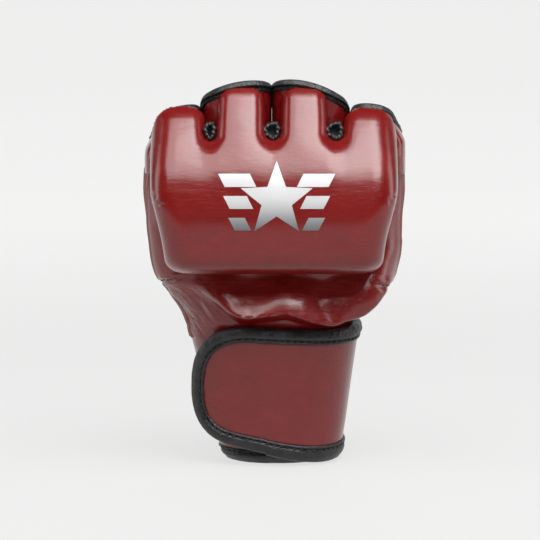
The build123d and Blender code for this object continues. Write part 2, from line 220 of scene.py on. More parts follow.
CUFF_STATIONS = [
    (-6, 20.5, 17.0, 1.2, 0, 2.5),
    (0, 23.8, 19.8, 1.0, 0, 2.5),
    (6, 27.6, 22.2, 0.6, 0, 2.5),
    (16, 30.2, 23.8, -0.1, 0, 2.5),
    (37, 34.4, 25.5, -1.4, 0, 2.5),
    (74, 41.75, 29, -3.5, 0, 2.5),
    (80, 43, 29.5, -3.8, 0, 2.5),
]
HAND_STATIONS = [
    (62, 39.6, 28, -2.8, 0, 2.5),
    (74, 42.6, 29.2, -3.2, 0, 2.5),
    (86, 51.8, 30, -1.2, -1, 2.6),
    (98, 59.5, 29.5, 0, -1.5, 2.7),
    (129, 64.2, 25, 0, -3.2, 2.9),
    (150, 64.0, 20, 0, -4, 3.0),
    (156, 63.5, 19, 0, -4, 3.0),
]
cuff_skin = tube_skin(-5, 80, CUFF_STATIONS)
hand_skin = tube_skin(62, 156, HAND_STATIONS)

STRAP_STAND = 3.0             # strap lining off the cuff
STRAP_LINING = 1.0
STRAP_THICK = 2.6
STRAP_BACK = 23.0             # sewn end beyond the inner wrist's middle
STRAP_TIP_S = -39.8
SPLIT_S = 8.0           # where the tip's length meets the main length
TIP_BEND_RADIUS = 58.0
TIP_BEND_START = -4.0


def strap_skin():
    """Inner face of the wrap strap: it follows the cuff, and its tip stands off more flatly."""
    foot, top = -2.0, 76.0
    count = 400
    low, high = -52.0, 150.0
    s = np.linspace(low, high, count)
    rows = []
    for z in np.arange(foot, top + Skin.LEVEL, Skin.LEVEL):
        ring = cuff_skin.at(np.maximum(s, TIP_BEND_START), np.full(count, z), STRAP_STAND)
        begin = cuff_skin.at(TIP_BEND_START, z, STRAP_STAND)
        turn = np.clip(TIP_BEND_START - s, 0, None) / TIP_BEND_RADIUS
        bent_x = begin[0] - TIP_BEND_RADIUS * np.sin(turn)
        bent_y = begin[1] + TIP_BEND_RADIUS * (1 - np.cos(turn))
        on_tip = (s < TIP_BEND_START)[:, None]
        rows.append(np.where(on_tip, np.stack([bent_x, bent_y, np.full(count, z)], -1), ring))
    return Skin(foot, np.array(rows), np.full(len(rows), high - low), start=low)


wrap_skin = strap_skin()


# ---------------------------------------------------------------- mesh making
SHEET_CREASE = 50             # degrees from which an edge shades sharp
SWEPT_CREASE = 60


def make_object(name, points, faces, material, normals=None, flat_faces=0, sharp=None):
    """A mesh object with its faces outwards.  Points are in the making's millimetres.

    A face with a repeated corner is a triangle.  Given normals shade all but the last flat_faces faces.
    """
    points = np.asarray(points, float)
    faces = np.asarray(faces)
    a, b, c, d = (points[faces[:, k]] for k in range(4))
    volume = np.einsum("ij,ij->", a, np.cross(b, c)) + np.einsum("ij,ij->", a, np.cross(c, d))
    if volume < 0:
        faces = faces[:, ::-1]
    keep = faces != np.roll(faces, 1, axis=1)
    mesh = bpy.data.meshes.new(name)
    place = (points + (0, WRIST_Y, 0)) * MM
    mesh.from_pydata(place.tolist(), [], [tuple(f[k]) for f, k in zip(faces, keep)])
    mesh.materials.append(material)
    mesh.shade_smooth()
    if sharp:
        mesh.set_sharp_from_angle(angle=radians(sharp))
    if normals is not None:
        corners = normals[faces]
        if flat_faces:
            corners[-flat_faces:] = 0
        mesh.normals_split_custom_set(corners[keep].tolist())
    made = bpy.data.objects.new(name, mesh)
    bpy.context.scene.collection.objects.link(made)
    return made


def carry(made, body, replaces=()):
    """Rides made on a body, or, given two bodies, only bakes its place; and hides the frame's parts that it
    stands for.
    """
    if isinstance(body, str):
        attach(made, body)
    else:
        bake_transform(made)
    if replaces:
        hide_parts(*replaces)
    return made


def ring_faces(rows, columns):
    """Quads of a grid whose rows close on themselves."""
    i = np.arange(rows - 1)[:, None] * columns
    j = np.arange(columns)[None, :]
    after = (j + 1) % columns
    return np.stack([i + j, i + after, i + columns + after, i + columns + j], -1).reshape(-1, 4)


def rim_edges(faces, corners=4):
    """Edges that only one face has, in that face's direction."""
    edges = np.concatenate([faces[:, [k, (k + 1) % corners]] for k in range(corners)])
    _, first, uses = np.unique(np.sort(edges, axis=1), axis=0, return_index=True, return_counts=True)
    return edges[first[uses == 1]]


def rim_walls(faces, count, corners=4):
    """Quads from the rim of faces to the same points, numbered count further on."""
    rim = rim_edges(faces, corners)
    return np.stack([rim[:, 1], rim[:, 0], rim[:, 0] + count, rim[:, 1] + count], -1)


def solid_of_cells(outer, inner, cells):
    """Points and faces of the chosen cells of two matching grids, walled along their edges.

    Cell (i, j) lies between rows i and i + 1, and columns j and j + 1, and the last column meets the first.
    """
    rows, columns = outer.shape[:2]
    index = np.arange(rows * columns).reshape(rows, columns)
    after = np.roll(index, -1, axis=1)
    quads = np.stack([index[:-1], after[:-1], after[1:], index[1:]], -1)[cells]
    count = rows * columns
    faces = np.concatenate([quads, quads[:, ::-1] + count, rim_walls(quads, count)])
    points = np.concatenate([outer.reshape(-1, 3), inner.reshape(-1, 3)])
    used, faces = np.unique(faces, return_inverse=True)
    return points[used], faces.reshape(-1, 4)


def all_cells(grid):
    """Every cell of a grid that doesn't meet itself."""
    cells = np.ones((grid.shape[0] - 1, grid.shape[1]), bool)
    cells[:, -1] = False
    return cells


def sheet(name, outer, inner, material, body, nodes, cells=None):
    """A sheet between two matching grids, or only some cells of it, carried by a body."""
    cells = all_cells(outer) if cells is None else cells
    made = make_object(name, *solid_of_cells(outer, inner, cells), material, sharp=SHEET_CREASE)
    return carry(made, body, nodes)


def rounded_path(corners, radii, step, closed=True):
    """Evenly spaced points of a path whose corners are rounded."""
    corners = np.array(corners, float)
    radii = np.broadcast_to(radii, len(corners))
    bend = np.linspace(0, 1, 9)[:, None]
    runs = []
    for k, (corner, radius) in enumerate(zip(corners, radii)):
        if not closed and k in (0, len(corners) - 1):
            runs.append(corner[None])
            continue
        before = corners[k - 1] - corner
        after = corners[(k + 1) % len(corners)] - corner
        first = corner + before * min(radius / np.linalg.norm(before), 0.5)
        last = corner + after * min(radius / np.linalg.norm(after), 0.5)
        runs.append(first * (1 - bend) ** 2 + corner * 2 * bend * (1 - bend) + last * bend**2)
    path = np.concatenate(runs)
    if closed:
        path = np.concatenate([path, path[:1]])
    run = np.concatenate([[0], np.cumsum(np.linalg.norm(np.diff(path, axis=0), axis=1))])
    even = np.linspace(0, run[-1], max(int(run[-1] / step), 8) + 1)
    path = np.stack([np.interp(even, run, path[:, k]) for k in range(path.shape[1])], -1)
    return path[:-1] if closed else path


def inside_path(s, z, path):
    """Whether places lie inside a closed flat path."""
    after = np.roll(path, -1, axis=0)
    inside = np.zeros(s.shape, bool)
    for (s0, z0), (s1, z1) in zip(path, after):
        if z0 != z1:
            crosses = (z0 > z) != (z1 > z)
            inside ^= crosses & (s < s0 + (z - z0) * (s1 - s0) / (z1 - z0))
    return inside


PATH_GAP = 5.0                # the ends of a path that closes on its skin are nearer than this


def path_sides(path, closed):
    """Directions to the left of a flat path.  A path round a tube is closed though its ends are far apart."""
    along = np.gradient(path, axis=0)
    if closed and np.linalg.norm(path[0] - path[-1]) < PATH_GAP:
        along = np.roll(path, -1, axis=0) - np.roll(path, 1, axis=0)
    along = unit(along)
    return np.stack([-along[:, 1], along[:, 0]], -1)


def fold_profile(width, back_width, thick, wrap, groove):
    """(inwards, outwards) outline of an edging folded round a sheet's edge, with its stitched groove."""
    top = thick / 2 + wrap
    face = [
        (width, thick / 2 + 0.15),
        (width - 0.1, thick / 2 + 0.55 * wrap),
        (width - 0.6, top - 0.1),
        (groove + 0.95, top - 0.05),
        (groove + 0.5, top - 0.4),
        (groove, top - 0.95),
        (groove - 0.5, top - 0.4),
        (groove - 1.1, top + 0.12),
        (width * 0.38, top + 0.34),
        (width * 0.18, top + 0.24),
    ]
    nose = []
    for k in range(7):
        angle = pi / 2 - pi * k / 6
        nose.append((0.5 - (top * 0.9 + 0.2) * cos(angle), top * sin(angle)))
    back = [(back_width * 0.3, -top), (back_width - 0.6, -top + 0.1), (back_width, -thick / 2 - 0.15)]
    inside = [(1.0, -thick / 2), (0.6, 0.0), (1.0, thick / 2)]
    return np.array(face + nose + back + inside)


def edging(name, skin, path, width, middle, thick, groove, wrap=1.1, seed=1, closed=True, part=None):
    """Leather folded round the edge of a sheet on a skin, or only a part of that edging.

    The sheet is to the left of the path, this thick, with its middle this far off the skin.
    """
    profile = fold_profile(width, width * 0.8, thick, wrap, groove)
    side = path_sides(path, closed)
    inwards = profile[None, :, 0]
    rough = 1 + 0.05 * lumps(np.concatenate([path, path[:, :1] * 0], 1), 5.0, seed)[:, None]
    s = path[:, None, 0] + side[:, None, 0] * inwards
    z = path[:, None, 1] + side[:, None, 1] * inwards
    points = skin.at(s, z, middle + profile[None, :, 1] * rough)
    puckers = 0.1 * lumps(points, 1.6, seed + 1) + 0.12 * lumps(points, 4.5, seed + 2)
    points = points + (puckers * np.sign(profile[None, :, 1]))[..., None] * skin.out(s, z)
    if part is not None:
        points = points[part]
        closed = False
    return swept(name, points, BLACK, closed)


def swept(name, points, material, closed):
    """A solid swept through sections: points[i] is the closed outline at step i."""
    steps, outline = points.shape[:2]
    if closed:
        points = np.concatenate([points, points[:1]])
        faces = ring_faces(steps + 1, outline) % (steps * outline)
        return make_object(name, points[:-1].reshape(-1, 3), faces, material)
    faces = ring_faces(steps, outline)
    caps = []
    flat = np.concatenate([points.reshape(-1, 3), [points[0].mean(0), points[-1].mean(0)]])
    for end, first in enumerate((0, (steps - 1) * outline)):
        j = np.arange(outline)
        after = (j + 1) % outline
        tip = np.full(outline, steps * outline + end)
        fan = np.stack([first + after, first + j, tip, tip], -1)
        caps.append(fan if end == 0 else fan[:, [1, 0, 2, 3]])
    return make_object(name, flat, np.concatenate([faces, *caps]), material, sharp=SWEPT_CREASE)


# ---------------------------------------------------------------- shader graphs
class Value:
    """A shader socket that can be used in sums."""

    def __init__(self, graph, socket):
        self.graph = graph
        self.socket = socket

    def __add__(self, other):
        return self.graph.add("ShaderNodeMath", {"operation": "ADD"}, [self, other])

    def __mul__(self, other):
        return self.graph.add("ShaderNodeMath", {"operation": "MULTIPLY"}, [self, other])


class Graph:
    """The nodes of one material."""

    def __init__(self, name):
        self.material = bpy.data.materials.new(name)
        self.material.use_nodes = True
        self.tree = self.material.node_tree
        self.shader = self.tree.nodes["Principled BSDF"]

    def add(self, kind, settings=None, inputs=(), output=0):
        """A node with its settings made first, then its inputs by place or name."""
        node = self.tree.nodes.new(kind)
        for key, value in (settings or {}).items():
            setattr(node, key, value)
        pairs = inputs.items() if isinstance(inputs, dict) else enumerate(inputs)
        for key, value in pairs:
            self.feed(node.inputs[key], value)
        return Value(self, node.outputs[output])

    def feed(self, socket, value):
        """Links a value to a socket, or sets it."""
        if isinstance(value, Value):
            self.tree.links.new(value.socket, socket)
        else:
            socket.default_value = value

    def place(self, x=1000.0, y=1000.0, z=1000.0):
        """Object coordinates in millimetres, stretched by the given scales."""
        where = self.tree.nodes.get("Where") or self.tree.nodes.new("ShaderNodeTexCoord")
        where.name = "Where"
        point = Value(self, where.outputs["Object"])
        return self.add("ShaderNodeVectorMath", {"operation": "MULTIPLY"}, [point, (x, y, z)])

    def noise(self, size, detail=2.0, roughness=0.5, at=None):
        """Noise about 0 to 1 with lumps of the given size in millimetres."""
        inputs = {"Vector": at or self.place(), "Scale": 1.0 / size, "Detail": detail, "Roughness": roughness}
        return self.add("ShaderNodeTexNoise", inputs=inputs)

    def cells(self, size, feature="F1", at=None, randomness=1.0):
        """Distance pattern of random cells of the given size in millimetres."""
        inputs = {"Vector": at or self.place(), "Scale": 1.0 / size, "Randomness": randomness}
        return self.add("ShaderNodeTexVoronoi", {"feature": feature}, inputs)

    def limits(self, value, low, high, to_low=0.0, to_high=1.0):
        """Value eased from one range to another."""
        eased = {"interpolation_type": "SMOOTHSTEP"}
        return self.add("ShaderNodeMapRange", eased, [value, low, high, to_low, to_high])

    def mix(self, share, first, second):
        """Mix of two colours."""
        node = self.tree.nodes.new("ShaderNodeMix")
        node.data_type = "RGBA"
        self.feed(node.inputs["Factor"], share)
        for key, colour in ((6, first), (7, second)):
            self.feed(node.inputs[key], colour if isinstance(colour, Value) else (*colour, 1))
        return Value(self, node.outputs[2])

    def bump(self, height, depth, strength=1.0, below=None):
        """Normal of a relief whose height 1 stands for depth in millimetres."""
        inputs = {"Height": height, "Distance": depth * MM, "Strength": strength}
        if below:
            inputs["Normal"] = below
        return self.add("ShaderNodeBump", inputs=inputs)

    def finish(self, **sockets):
        """Feeds the shader's sockets, named with underscores for spaces."""
        for key, value in sockets.items():
            if isinstance(value, tuple) and len(value) == 3:
                value = (*value, 1)
            self.feed(self.shader.inputs[key.replace("_", " ")], value)
        return self.material


# ---------------------------------------------------------------- finishes
RED_DEEP = (0.118, 0.0032, 0.0030)
RED_BODY = (0.138, 0.0042, 0.0036)
RED_WORN = (0.19, 0.011, 0.012)
PAPER_GREY = 0.09
PAPER_GLOW = (0.69, 0.81)     # near the glove and far from it
GLOW_REACH = (280.0, 1150.0)  # millimetres from the glove between which the glow grows


def red_leather(name, crinkle, grain=0.03, gloss=0.34):
    """Polished aniline leather: pores, fine crinkle, mottled dye and paler high spots."""
    g = Graph(name)
    pores = g.cells(0.75, at=g.place(1000, 1000, 1250))
    hairs = g.noise(0.42, 3.0)
    waves = g.noise(2.6, 3.0, 0.55, at=g.place(420, 700, 1700))
    folds = g.noise(7.0, 2.0, 0.5, at=g.place(600, 800, 1500))
    dye = g.noise(14.0, 3.0, 0.6)
    ridge = g.limits(waves, 0.40, 0.62)
    relief = g.bump(pores * 0.6 + hairs * 0.4, grain)
    relief = g.bump(ridge + folds * 0.8, crinkle, below=relief)
    depth = g.limits(dye * 0.75 + folds * 0.25, 0.30, 0.62)
    colour = g.mix(depth, RED_DEEP, RED_BODY)
    colour = g.mix(g.limits(pores, 0.55, 0.0, 0.0, 0.35), colour, RED_DEEP)
    colour = g.mix(g.limits(hairs * ridge, 0.30, 0.62, 0.0, 0.22), colour, RED_WORN)
    rough = g.limits(dye, 0.3, 0.75, gloss - 0.01, gloss + 0.02) + pores * 0.03
    return g.finish(
        Base_Color=colour, Roughness=rough, Normal=relief, Specular_IOR_Level=0.2,
        Coat_Weight=0.8, Coat_Roughness=gloss - 0.06,
    )


def black_leather():
    """Soft black edging leather, matt, with a fine pebble and grey rubbed spots."""
    g = Graph("black_edging_leather")
    pebble = g.cells(0.9)
    fine = g.noise(0.5, 3.0)
    creases = g.noise(3.2, 3.0, 0.6)
    rubbed = g.noise(9.0, 2.0)
    relief = g.bump(pebble * 0.7 + fine * 0.3, 0.07)
    relief = g.bump(g.limits(creases, 0.42, 0.60), 0.16, below=relief)
    wear = g.limits(rubbed * 0.6 + creases * 0.4, 0.42, 0.66)
    colour = g.mix(wear, (0.009, 0.009, 0.0093), (0.019, 0.019, 0.0195))
    rough = g.limits(fine * 0.4 + rubbed * 0.6, 0.35, 0.65, 0.34, 0.48)
    return g.finish(Base_Color=colour, Roughness=rough, Normal=relief, Specular_IOR_Level=0.4)


def lining_fabric():
    """Dark brushed knit inside the glove."""
    g = Graph("lining_knit")
    loops = g.cells(1.1, "SMOOTH_F1", at=g.place(1000, 1000, 1500), randomness=0.25)
    fuzz = g.noise(0.35, 3.0)
    drift = g.noise(12.0, 2.0)
    relief = g.bump(loops * 0.7 + fuzz * 0.3, 0.28)
    colour = g.mix(g.limits(loops, 0.15, 0.7), (0.035, 0.035, 0.037), (0.008, 0.008, 0.009))
    colour = g.mix(g.limits(drift + fuzz * 0.4, 0.55, 0.95, 0.0, 0.5), colour, (0.055, 0.054, 0.055))
    return g.finish(Base_Color=colour, Roughness=0.9, Normal=relief, Sheen_Weight=0.25, Sheen_Roughness=0.4)


def thread(name, dark, light):
    """Waxed sewing thread with a twist."""
    g = Graph(name)
    twist = g.noise(0.28, 1.0, at=g.place(1000, 1000, 2600))
    colour = g.mix(g.limits(twist, 0.4, 0.6), dark, light)
    return g.finish(Base_Color=colour, Roughness=0.5, Normal=g.bump(twist, 0.08))


def closure_fabric(name, size, colour_low, colour_high):
    """Woven tape with a fuzzy pile, for the hook and the loop patch."""
    g = Graph(name)
    pile = g.noise(size, 3.0, 0.7)
    weave = g.cells(size * 1.6, randomness=0.6)
    relief = g.bump(pile * 0.6 + weave * 0.4, 0.5)
    colour = g.mix(g.limits(pile, 0.35, 0.65), colour_low, colour_high)
    return g.finish(Base_Color=colour, Roughness=0.85, Normal=relief, Sheen_Weight=0.4)


def foam():
    """Grey closed-cell foam."""
    g = Graph("pad_foam")
    bubbles = g.cells(0.8)
    colour = g.mix(g.limits(bubbles, 0.1, 0.6), (0.16, 0.16, 0.165), (0.24, 0.24, 0.245))
    return g.finish(Base_Color=colour, Roughness=0.9, Normal=g.bump(bubbles, 0.3))


def silver_print(low, high):
    """Silver transfer print with painted light: white at the top, where it would mirror the overhead lamps,
    and greyer at the bottom, with the leather's grain under it.
    """
    g = Graph("silver_print")
    where = g.add("ShaderNodeSeparateXYZ", inputs=[g.place()], output=2)
    # painted reflection: the foil is painted white at the top and grey at the bottom, as the lamps would
    # light it
    painted_light_fade = g.limits(where, low, high)
    grain = g.noise(0.6, 3.0)
    colour = g.mix(painted_light_fade, (0.08, 0.08, 0.083), (0.50, 0.50, 0.505))
    colour = g.mix(g.limits(grain, 0.55, 0.8, 0.0, 0.2), colour, (0.14, 0.13, 0.135))
    return g.finish(
        Base_Color=colour, Roughness=g.limits(grain, 0.3, 0.7, 0.34, 0.5), Metallic=0.25,
        Normal=g.bump(grain, 0.03),
    )


def paper():
    """Pale seamless paper of the studio, lit through from behind, a little more away from the glove."""
    g = Graph("pale_paper")
    spread = g.noise(400.0, 2.0)
    away = g.add("ShaderNodeVectorMath", {"operation": "LENGTH"}, [g.place()], output=1)
    near, far = ((glow, glow, glow * 0.995) for glow in PAPER_GLOW)
    shades = (PAPER_GREY,) * 3, (0.95 * PAPER_GREY,) * 3
    shade = g.mix(g.limits(spread, 0.3, 0.7, 0.0, 0.1), *shades)
    light = g.mix(g.limits(away, *GLOW_REACH), near, far)
    return g.finish(
        Base_Color=shade, Roughness=0.8, Specular_IOR_Level=0.1, Emission_Color=light, Emission_Strength=1.0,
    )


PAD_RED = red_leather("red_pad_leather", 0.05, 0.035, 0.28)
PANEL_RED = red_leather("red_panel_leather", 0.12, 0.05, 0.28)
STRAP_RED = red_leather("red_strap_leather", 0.05, 0.035, 0.32)
BLACK = black_leather()
KNIT = lining_fabric()
THREAD = thread("black_thread", (0.006, 0.006, 0.007), (0.022, 0.022, 0.023))
RED_THREAD = thread("red_thread", (0.05, 0.003, 0.004), (0.11, 0.008, 0.009))
LOOP_PILE = closure_fabric("loop_pile", 0.5, (0.006, 0.006, 0.007), (0.03, 0.03, 0.031))
HOOK_TAPE = closure_fabric("hook_tape", 0.8, (0.005, 0.005, 0.006), (0.02, 0.02, 0.021))
FOAM = foam()


# ---------------------------------------------------------------- stitches
def stitch_tree():
    """Thread stitches set along a line, each lying along it and sunk into the leather."""
    tree = bpy.data.node_groups.new("stitch_line", "GeometryNodeTree")
    face = tree.interface
    face.new_socket("Line", in_out="INPUT", socket_type="NodeSocketGeometry")
    for title in ("Stitch", "Gap", "Thickness"):
        face.new_socket(title, in_out="INPUT", socket_type="NodeSocketFloat")
    face.new_socket("Thread", in_out="INPUT", socket_type="NodeSocketMaterial")
    face.new_socket("Stitches", in_out="OUTPUT", socket_type="NodeSocketGeometry")

    def put(kind, inputs=None, **settings):
        """Outputs of a new node, its inputs linked or set."""
        node = tree.nodes.new(kind)
        for key, value in settings.items():
            setattr(node, key, value)
        for key, value in (inputs or {}).items():
            if isinstance(value, bpy.types.NodeSocket):
                tree.links.new(value, node.inputs[key])
            else:
                node.inputs[key].default_value = value
        return node.outputs

    given = put("NodeGroupInput")
    line = put("GeometryNodeMeshToCurve", {"Mesh": given["Line"]})
    pitch = put("ShaderNodeMath", {0: given["Stitch"], 1: given["Gap"]})
    even = put("GeometryNodeResampleCurve", {"Curve": line[0], "Length": pitch[0]}, mode="LENGTH")
    points = put("GeometryNodeCurveToPoints", {"Curve": even[0]}, mode="EVALUATED")
    outward = put("GeometryNodeInputNamedAttribute", {"Name": "outward"}, data_type="FLOAT_VECTOR")
    turn = "FunctionNodeAlignRotationToVector"
    along = put(turn, {"Vector": points["Tangent"]}, axis="X")
    upright = put(turn, {"Rotation": along[0], "Vector": outward[0]}, axis="Z", pivot_axis="X")
    bead = put("GeometryNodeMeshUVSphere", {"Segments": 8, "Rings": 5, "Radius": 1.0})
    half = put("ShaderNodeMath", {0: given["Stitch"], 1: 0.5}, operation="MULTIPLY")
    size = put("ShaderNodeCombineXYZ", {0: half[0], 1: given["Thickness"], 2: given["Thickness"]})
    put_down = {"Points": points[0], "Instance": bead["Mesh"], "Rotation": upright[0], "Scale": size[0]}
    placed = put("GeometryNodeInstanceOnPoints", put_down)
    real = put("GeometryNodeRealizeInstances", {0: placed[0]})
    painted = put("GeometryNodeSetMaterial", {"Geometry": real[0], "Material": given["Thread"]})
    put("NodeGroupOutput", {0: painted[0]})
    return tree


STITCH_TREE = stitch_tree()


def set_inputs(modifier, values):
    """Sets a node modifier's inputs by their titles."""
    for item in modifier.node_group.interface.items_tree:
        if item.item_type == "SOCKET" and item.in_out == "INPUT" and item.name in values:
            modifier[item.identifier] = values[item.name]


def stitches(name, lines, body, stitch=2.4, gap=0.9, thickness=0.36, material=THREAD):
    """Stitches along lines, each a pair of point and outward arrays, as one piece."""
    mesh = bpy.data.meshes.new(name)
    points = np.concatenate([line[0] for line in lines])
    outward = np.concatenate([line[1] for line in lines])
    edges = []
    first = 0
    for line, _ in lines:
        edges += [(first + k, first + k + 1) for k in range(len(line) - 1)]
        first += len(line)
    mesh.from_pydata(((points + (0, WRIST_Y, 0)) * MM).tolist(), edges, [])
    stored = mesh.attributes.new("outward", "FLOAT_VECTOR", "POINT")
    stored.data.foreach_set("vector", outward.astype(np.float32).ravel())
    source = bpy.data.objects.new(name + "_line", mesh)
    bpy.context.scene.collection.objects.link(source)
    modifier = source.modifiers.new("stitches", "NODES")
    modifier.node_group = STITCH_TREE
    sizes = {"Stitch": stitch * MM, "Gap": gap * MM, "Thickness": thickness * MM}
    set_inputs(modifier, {**sizes, "Thread": material})
    graph = bpy.context.evaluated_depsgraph_get()
    made_mesh = bpy.data.meshes.new_from_object(source.evaluated_get(graph))
    made_mesh.name = name
    made_mesh.shade_smooth()
    bpy.data.objects.remove(source)
    made = bpy.data.objects.new(name, made_mesh)
    bpy.context.scene.collection.objects.link(made)
    return carry(made, body)


def seam_line(skin, path, inwards, height, closed=False):
    """Points and outward directions of a line beside a path on a skin."""
    side = path_sides(path, closed)
    s = path[:, 0] + side[:, 0] * inwards
    z = path[:, 1] + side[:, 1] * inwards
    return skin.at(s, z, height), skin.out(s, z)


# ---------------------------------------------------------------- knuckle pad and finger lobes
PAD_PROFILE = [
    (-6, 45), (0, 50), (8, 54.5), (20, 56), (32, 56), (42, 54),
    (52, 50.5), (62, 45), (72, 38.5), (82, 31.5), (92, 24.5), (100, 19),
]                             # height above the pad's foot, depth in front of the wrist's middle
OUTER_DROP = [(-10, 0), (0, 0.5), (10, 2), (20, 3.5), (30, 5.5), (48, 9)]
SIDE_TAPER = [(-6, 9), (6, 7.6), (18, 6), (30, 3.2), (40, 0.8), (52, 0.3), (90, 1.2)]
LOBE_TOPS = np.array([32.2, 42.2, 42.2, 31.4]) + FLEX_Z
EDGES = [(span(a + "_stall", 0)[1] + span(b + "_stall", 0)[0]) / 2 for a, b in zip(FINGERS, FINGERS[1:])]
SLITS = (
    (EDGES[0] + 3.4, EDGES[0] + 3.0, 2.5, 4.6),
    (EDGES[1] + 2.2, EDGES[1] + 2.4, 3.6, 4.3),
    (EDGES[2] + 1.7, EDGES[2] + 3.9, 3.8, 7.2),
)                             # middle at the foot and the top, half width at the foot and the top
LOBE_SIDES = np.array([PAD_LEFT, *(slit[0] for slit in SLITS), PAD_RIGHT])
SLIT_FOOT = FLEX_Z + 14.5
LOBE_FOOT = FLEX_Z + 16.5
LOBE_BEND = 17.0              # length given for a lobe's bend
LOBE_ROUND = 8.0
SLIT_RISE = 26.0              # height over which a slit opens
SLIT_ROUND = 7.0
PAD_ROUND = 13.0
PAD_FOOT_ROUND = 7.0
PAD_STEP = 0.7
PAD_LOW = (PAD_LEFT - 3, -58.0, PAD_FOOT - 3)
PAD_HIGH = (PAD_RIGHT + 3, -5.0, LOBE_TOPS.max() + 3)


def tabled(knots, low=-20.0, high=220.0):
    """Quick form of a smooth curve through knots."""
    at = np.arange(low, high, 0.5)
    value = curve_through(knots, at)
    return lambda x: np.interp(x, at, value)


profile_at = tabled(PAD_PROFILE)
drop_at = tabled(OUTER_DROP)
taper_at = tabled(SIDE_TAPER)
shell_at = [tabled([(row[0], row[k]) for row in HAND_STATIONS]) for k in range(1, 6)]


def round_and(a, b, radius):
    """Both of two forms, with the edge between them rounded."""
    both = np.hypot(np.maximum(radius + a, 0), np.maximum(radius + b, 0))
    return np.minimum(np.maximum(a, b), -radius) + both


def hand_shell(x, y, z):
    """How far a place is outside the leather shell of the hand."""
    wide, deep, mid_x, mid_y, power = (curve(z) for curve in shell_at)
    oval_share = np.abs((x - mid_x) / wide) ** power + np.abs((y - mid_y) / deep) ** power
    return (oval_share ** (1 / power) - 1) * deep


def slit_field(x, z):
    """Distance inside the nearest slit, positive in the open slit."""
    best = np.full(x.shape, -99.0)
    for foot_x, top_x, foot_half, top_half in SLITS:
        rise = np.clip((z - SLIT_FOOT - foot_half) / SLIT_RISE, 0, 1)
        middle = foot_x + (top_x - foot_x) * rise
        half = foot_half + (top_half - foot_half) * rise**1.5
        below = np.minimum(z - SLIT_FOOT - foot_half, 0)
        best = np.maximum(best, half - np.hypot(x - middle, below))
    return best


def pad_field(p):
    """Signed distance to the padding, negative inside."""
    x, y, z = np.moveaxis(p, -1, 0)
    outer = smoothstep(-5, 5, SLITS[0][0] - x) + smoothstep(-5, 5, x - SLITS[2][0])
    lobe = sum((x > slit[0]).astype(int) for slit in SLITS)
    low, high = LOBE_SIDES[lobe], LOBE_SIDES[lobe + 1]
    dome = 2.4 * ((2 * x - low - high) / (high - low)) ** 2 * smoothstep(SLIT_FOOT - 14, SLIT_FOOT + 8, z)
    depth = profile_at(z - PAD_FOOT) - outer * drop_at(z - FLEX_Z) - dome
    slope = (profile_at(z - PAD_FOOT + 1) - profile_at(z - PAD_FOOT - 1)) / 2
    front = (-y - depth) / np.sqrt(1 + slope**2)
    taper = taper_at(z - PAD_FOOT)
    side = np.maximum(PAD_LEFT + 0.4 + taper - x, x - PAD_RIGHT + 1.0 + taper)
    form = round_and(front, side, PAD_ROUND)
    form = round_and(form, PAD_FOOT + 1.5 - z, PAD_FOOT_ROUND)
    form = round_and(form, z - LOBE_TOPS[lobe], LOBE_ROUND)
    form = round_and(form, slit_field(x, z), SLIT_ROUND)
    back = GUSSET_FRONT - (GUSSET_FRONT - STALL_FRONT + 0.6) * smoothstep(FLEX_Z - 16, FLEX_Z + 2, z)
    form = np.maximum(form, y - back)
    return np.where(z < FLEX_Z + 1, np.maximum(form, 0.1 - hand_shell(x, y, z)), form)


def slope_of(field, points, reach=0.3):
    """Gradient of a field at points."""
    steps = np.eye(3) * reach
    return np.stack([field(points + step) - field(points - step) for step in steps], -1) / (2 * reach)


def surface_of(field, low, high, step):
    """Points, faces and layer numbers of the surface where a field is zero."""
    axes = [np.arange(a, b + step, step) for a, b in zip(low, high)]
    value = field(np.stack(np.meshgrid(*axes, indexing="ij"), -1))
    inside = value < 0
    shape = np.array(value.shape) - 1
    corners = list(np.ndindex(2, 2, 2))
    windows = [tuple(slice(c, n + c) for c, n in zip(corner, shape)) for corner in corners]
    number = sum(inside[window].astype(int) for window in windows)
    active = (number > 0) & (number < 8)
    cells = np.argwhere(active)
    total = np.zeros((len(cells), 3))
    hits = np.zeros(len(cells))
    for axis in range(3):
        along = np.eye(3, dtype=int)[axis]
        for corner in corners:
            if corner[axis]:
                continue
            first = cells + corner
            a = value[tuple(first.T)]
            b = value[tuple((first + along).T)]
            cross = (a < 0) != (b < 0)
            share = np.where(cross, a / np.where(cross, a - b, 1), 0)
            total += (first + share[:, None] * along) * cross[:, None]
            hits += cross
    points = np.array(low) + step * total / hits[:, None]
    index = np.full(active.shape, -1)
    index[active] = np.arange(len(cells))
    faces = []
    for axis in range(3):
        along, u, v = (np.roll(np.eye(3, dtype=int), -axis, axis=0)[k] for k in range(3))
        ends = np.moveaxis(inside, axis, 0)
        change = np.moveaxis(ends[:-1] != ends[1:], 0, axis)
        edge = np.argwhere(change)
        edge = edge[np.all((edge > 0) | (along == 1), axis=1) & np.all((edge < shape) | (along == 1), axis=1)]
        around = [edge, edge - u, edge - u - v, edge - v]
        quad = np.stack([index[tuple(cell.T)] for cell in around], -1)
        turned = ~inside[tuple(edge.T)]
        quad[turned] = quad[turned][:, ::-1]
        faces.append(quad)
    for _ in range(4):
        slope = slope_of(field, points)
        points -= (field(points) / np.maximum((slope**2).sum(-1), 0.2))[:, None] * slope
    return points, np.concatenate(faces), cells[:, 2]


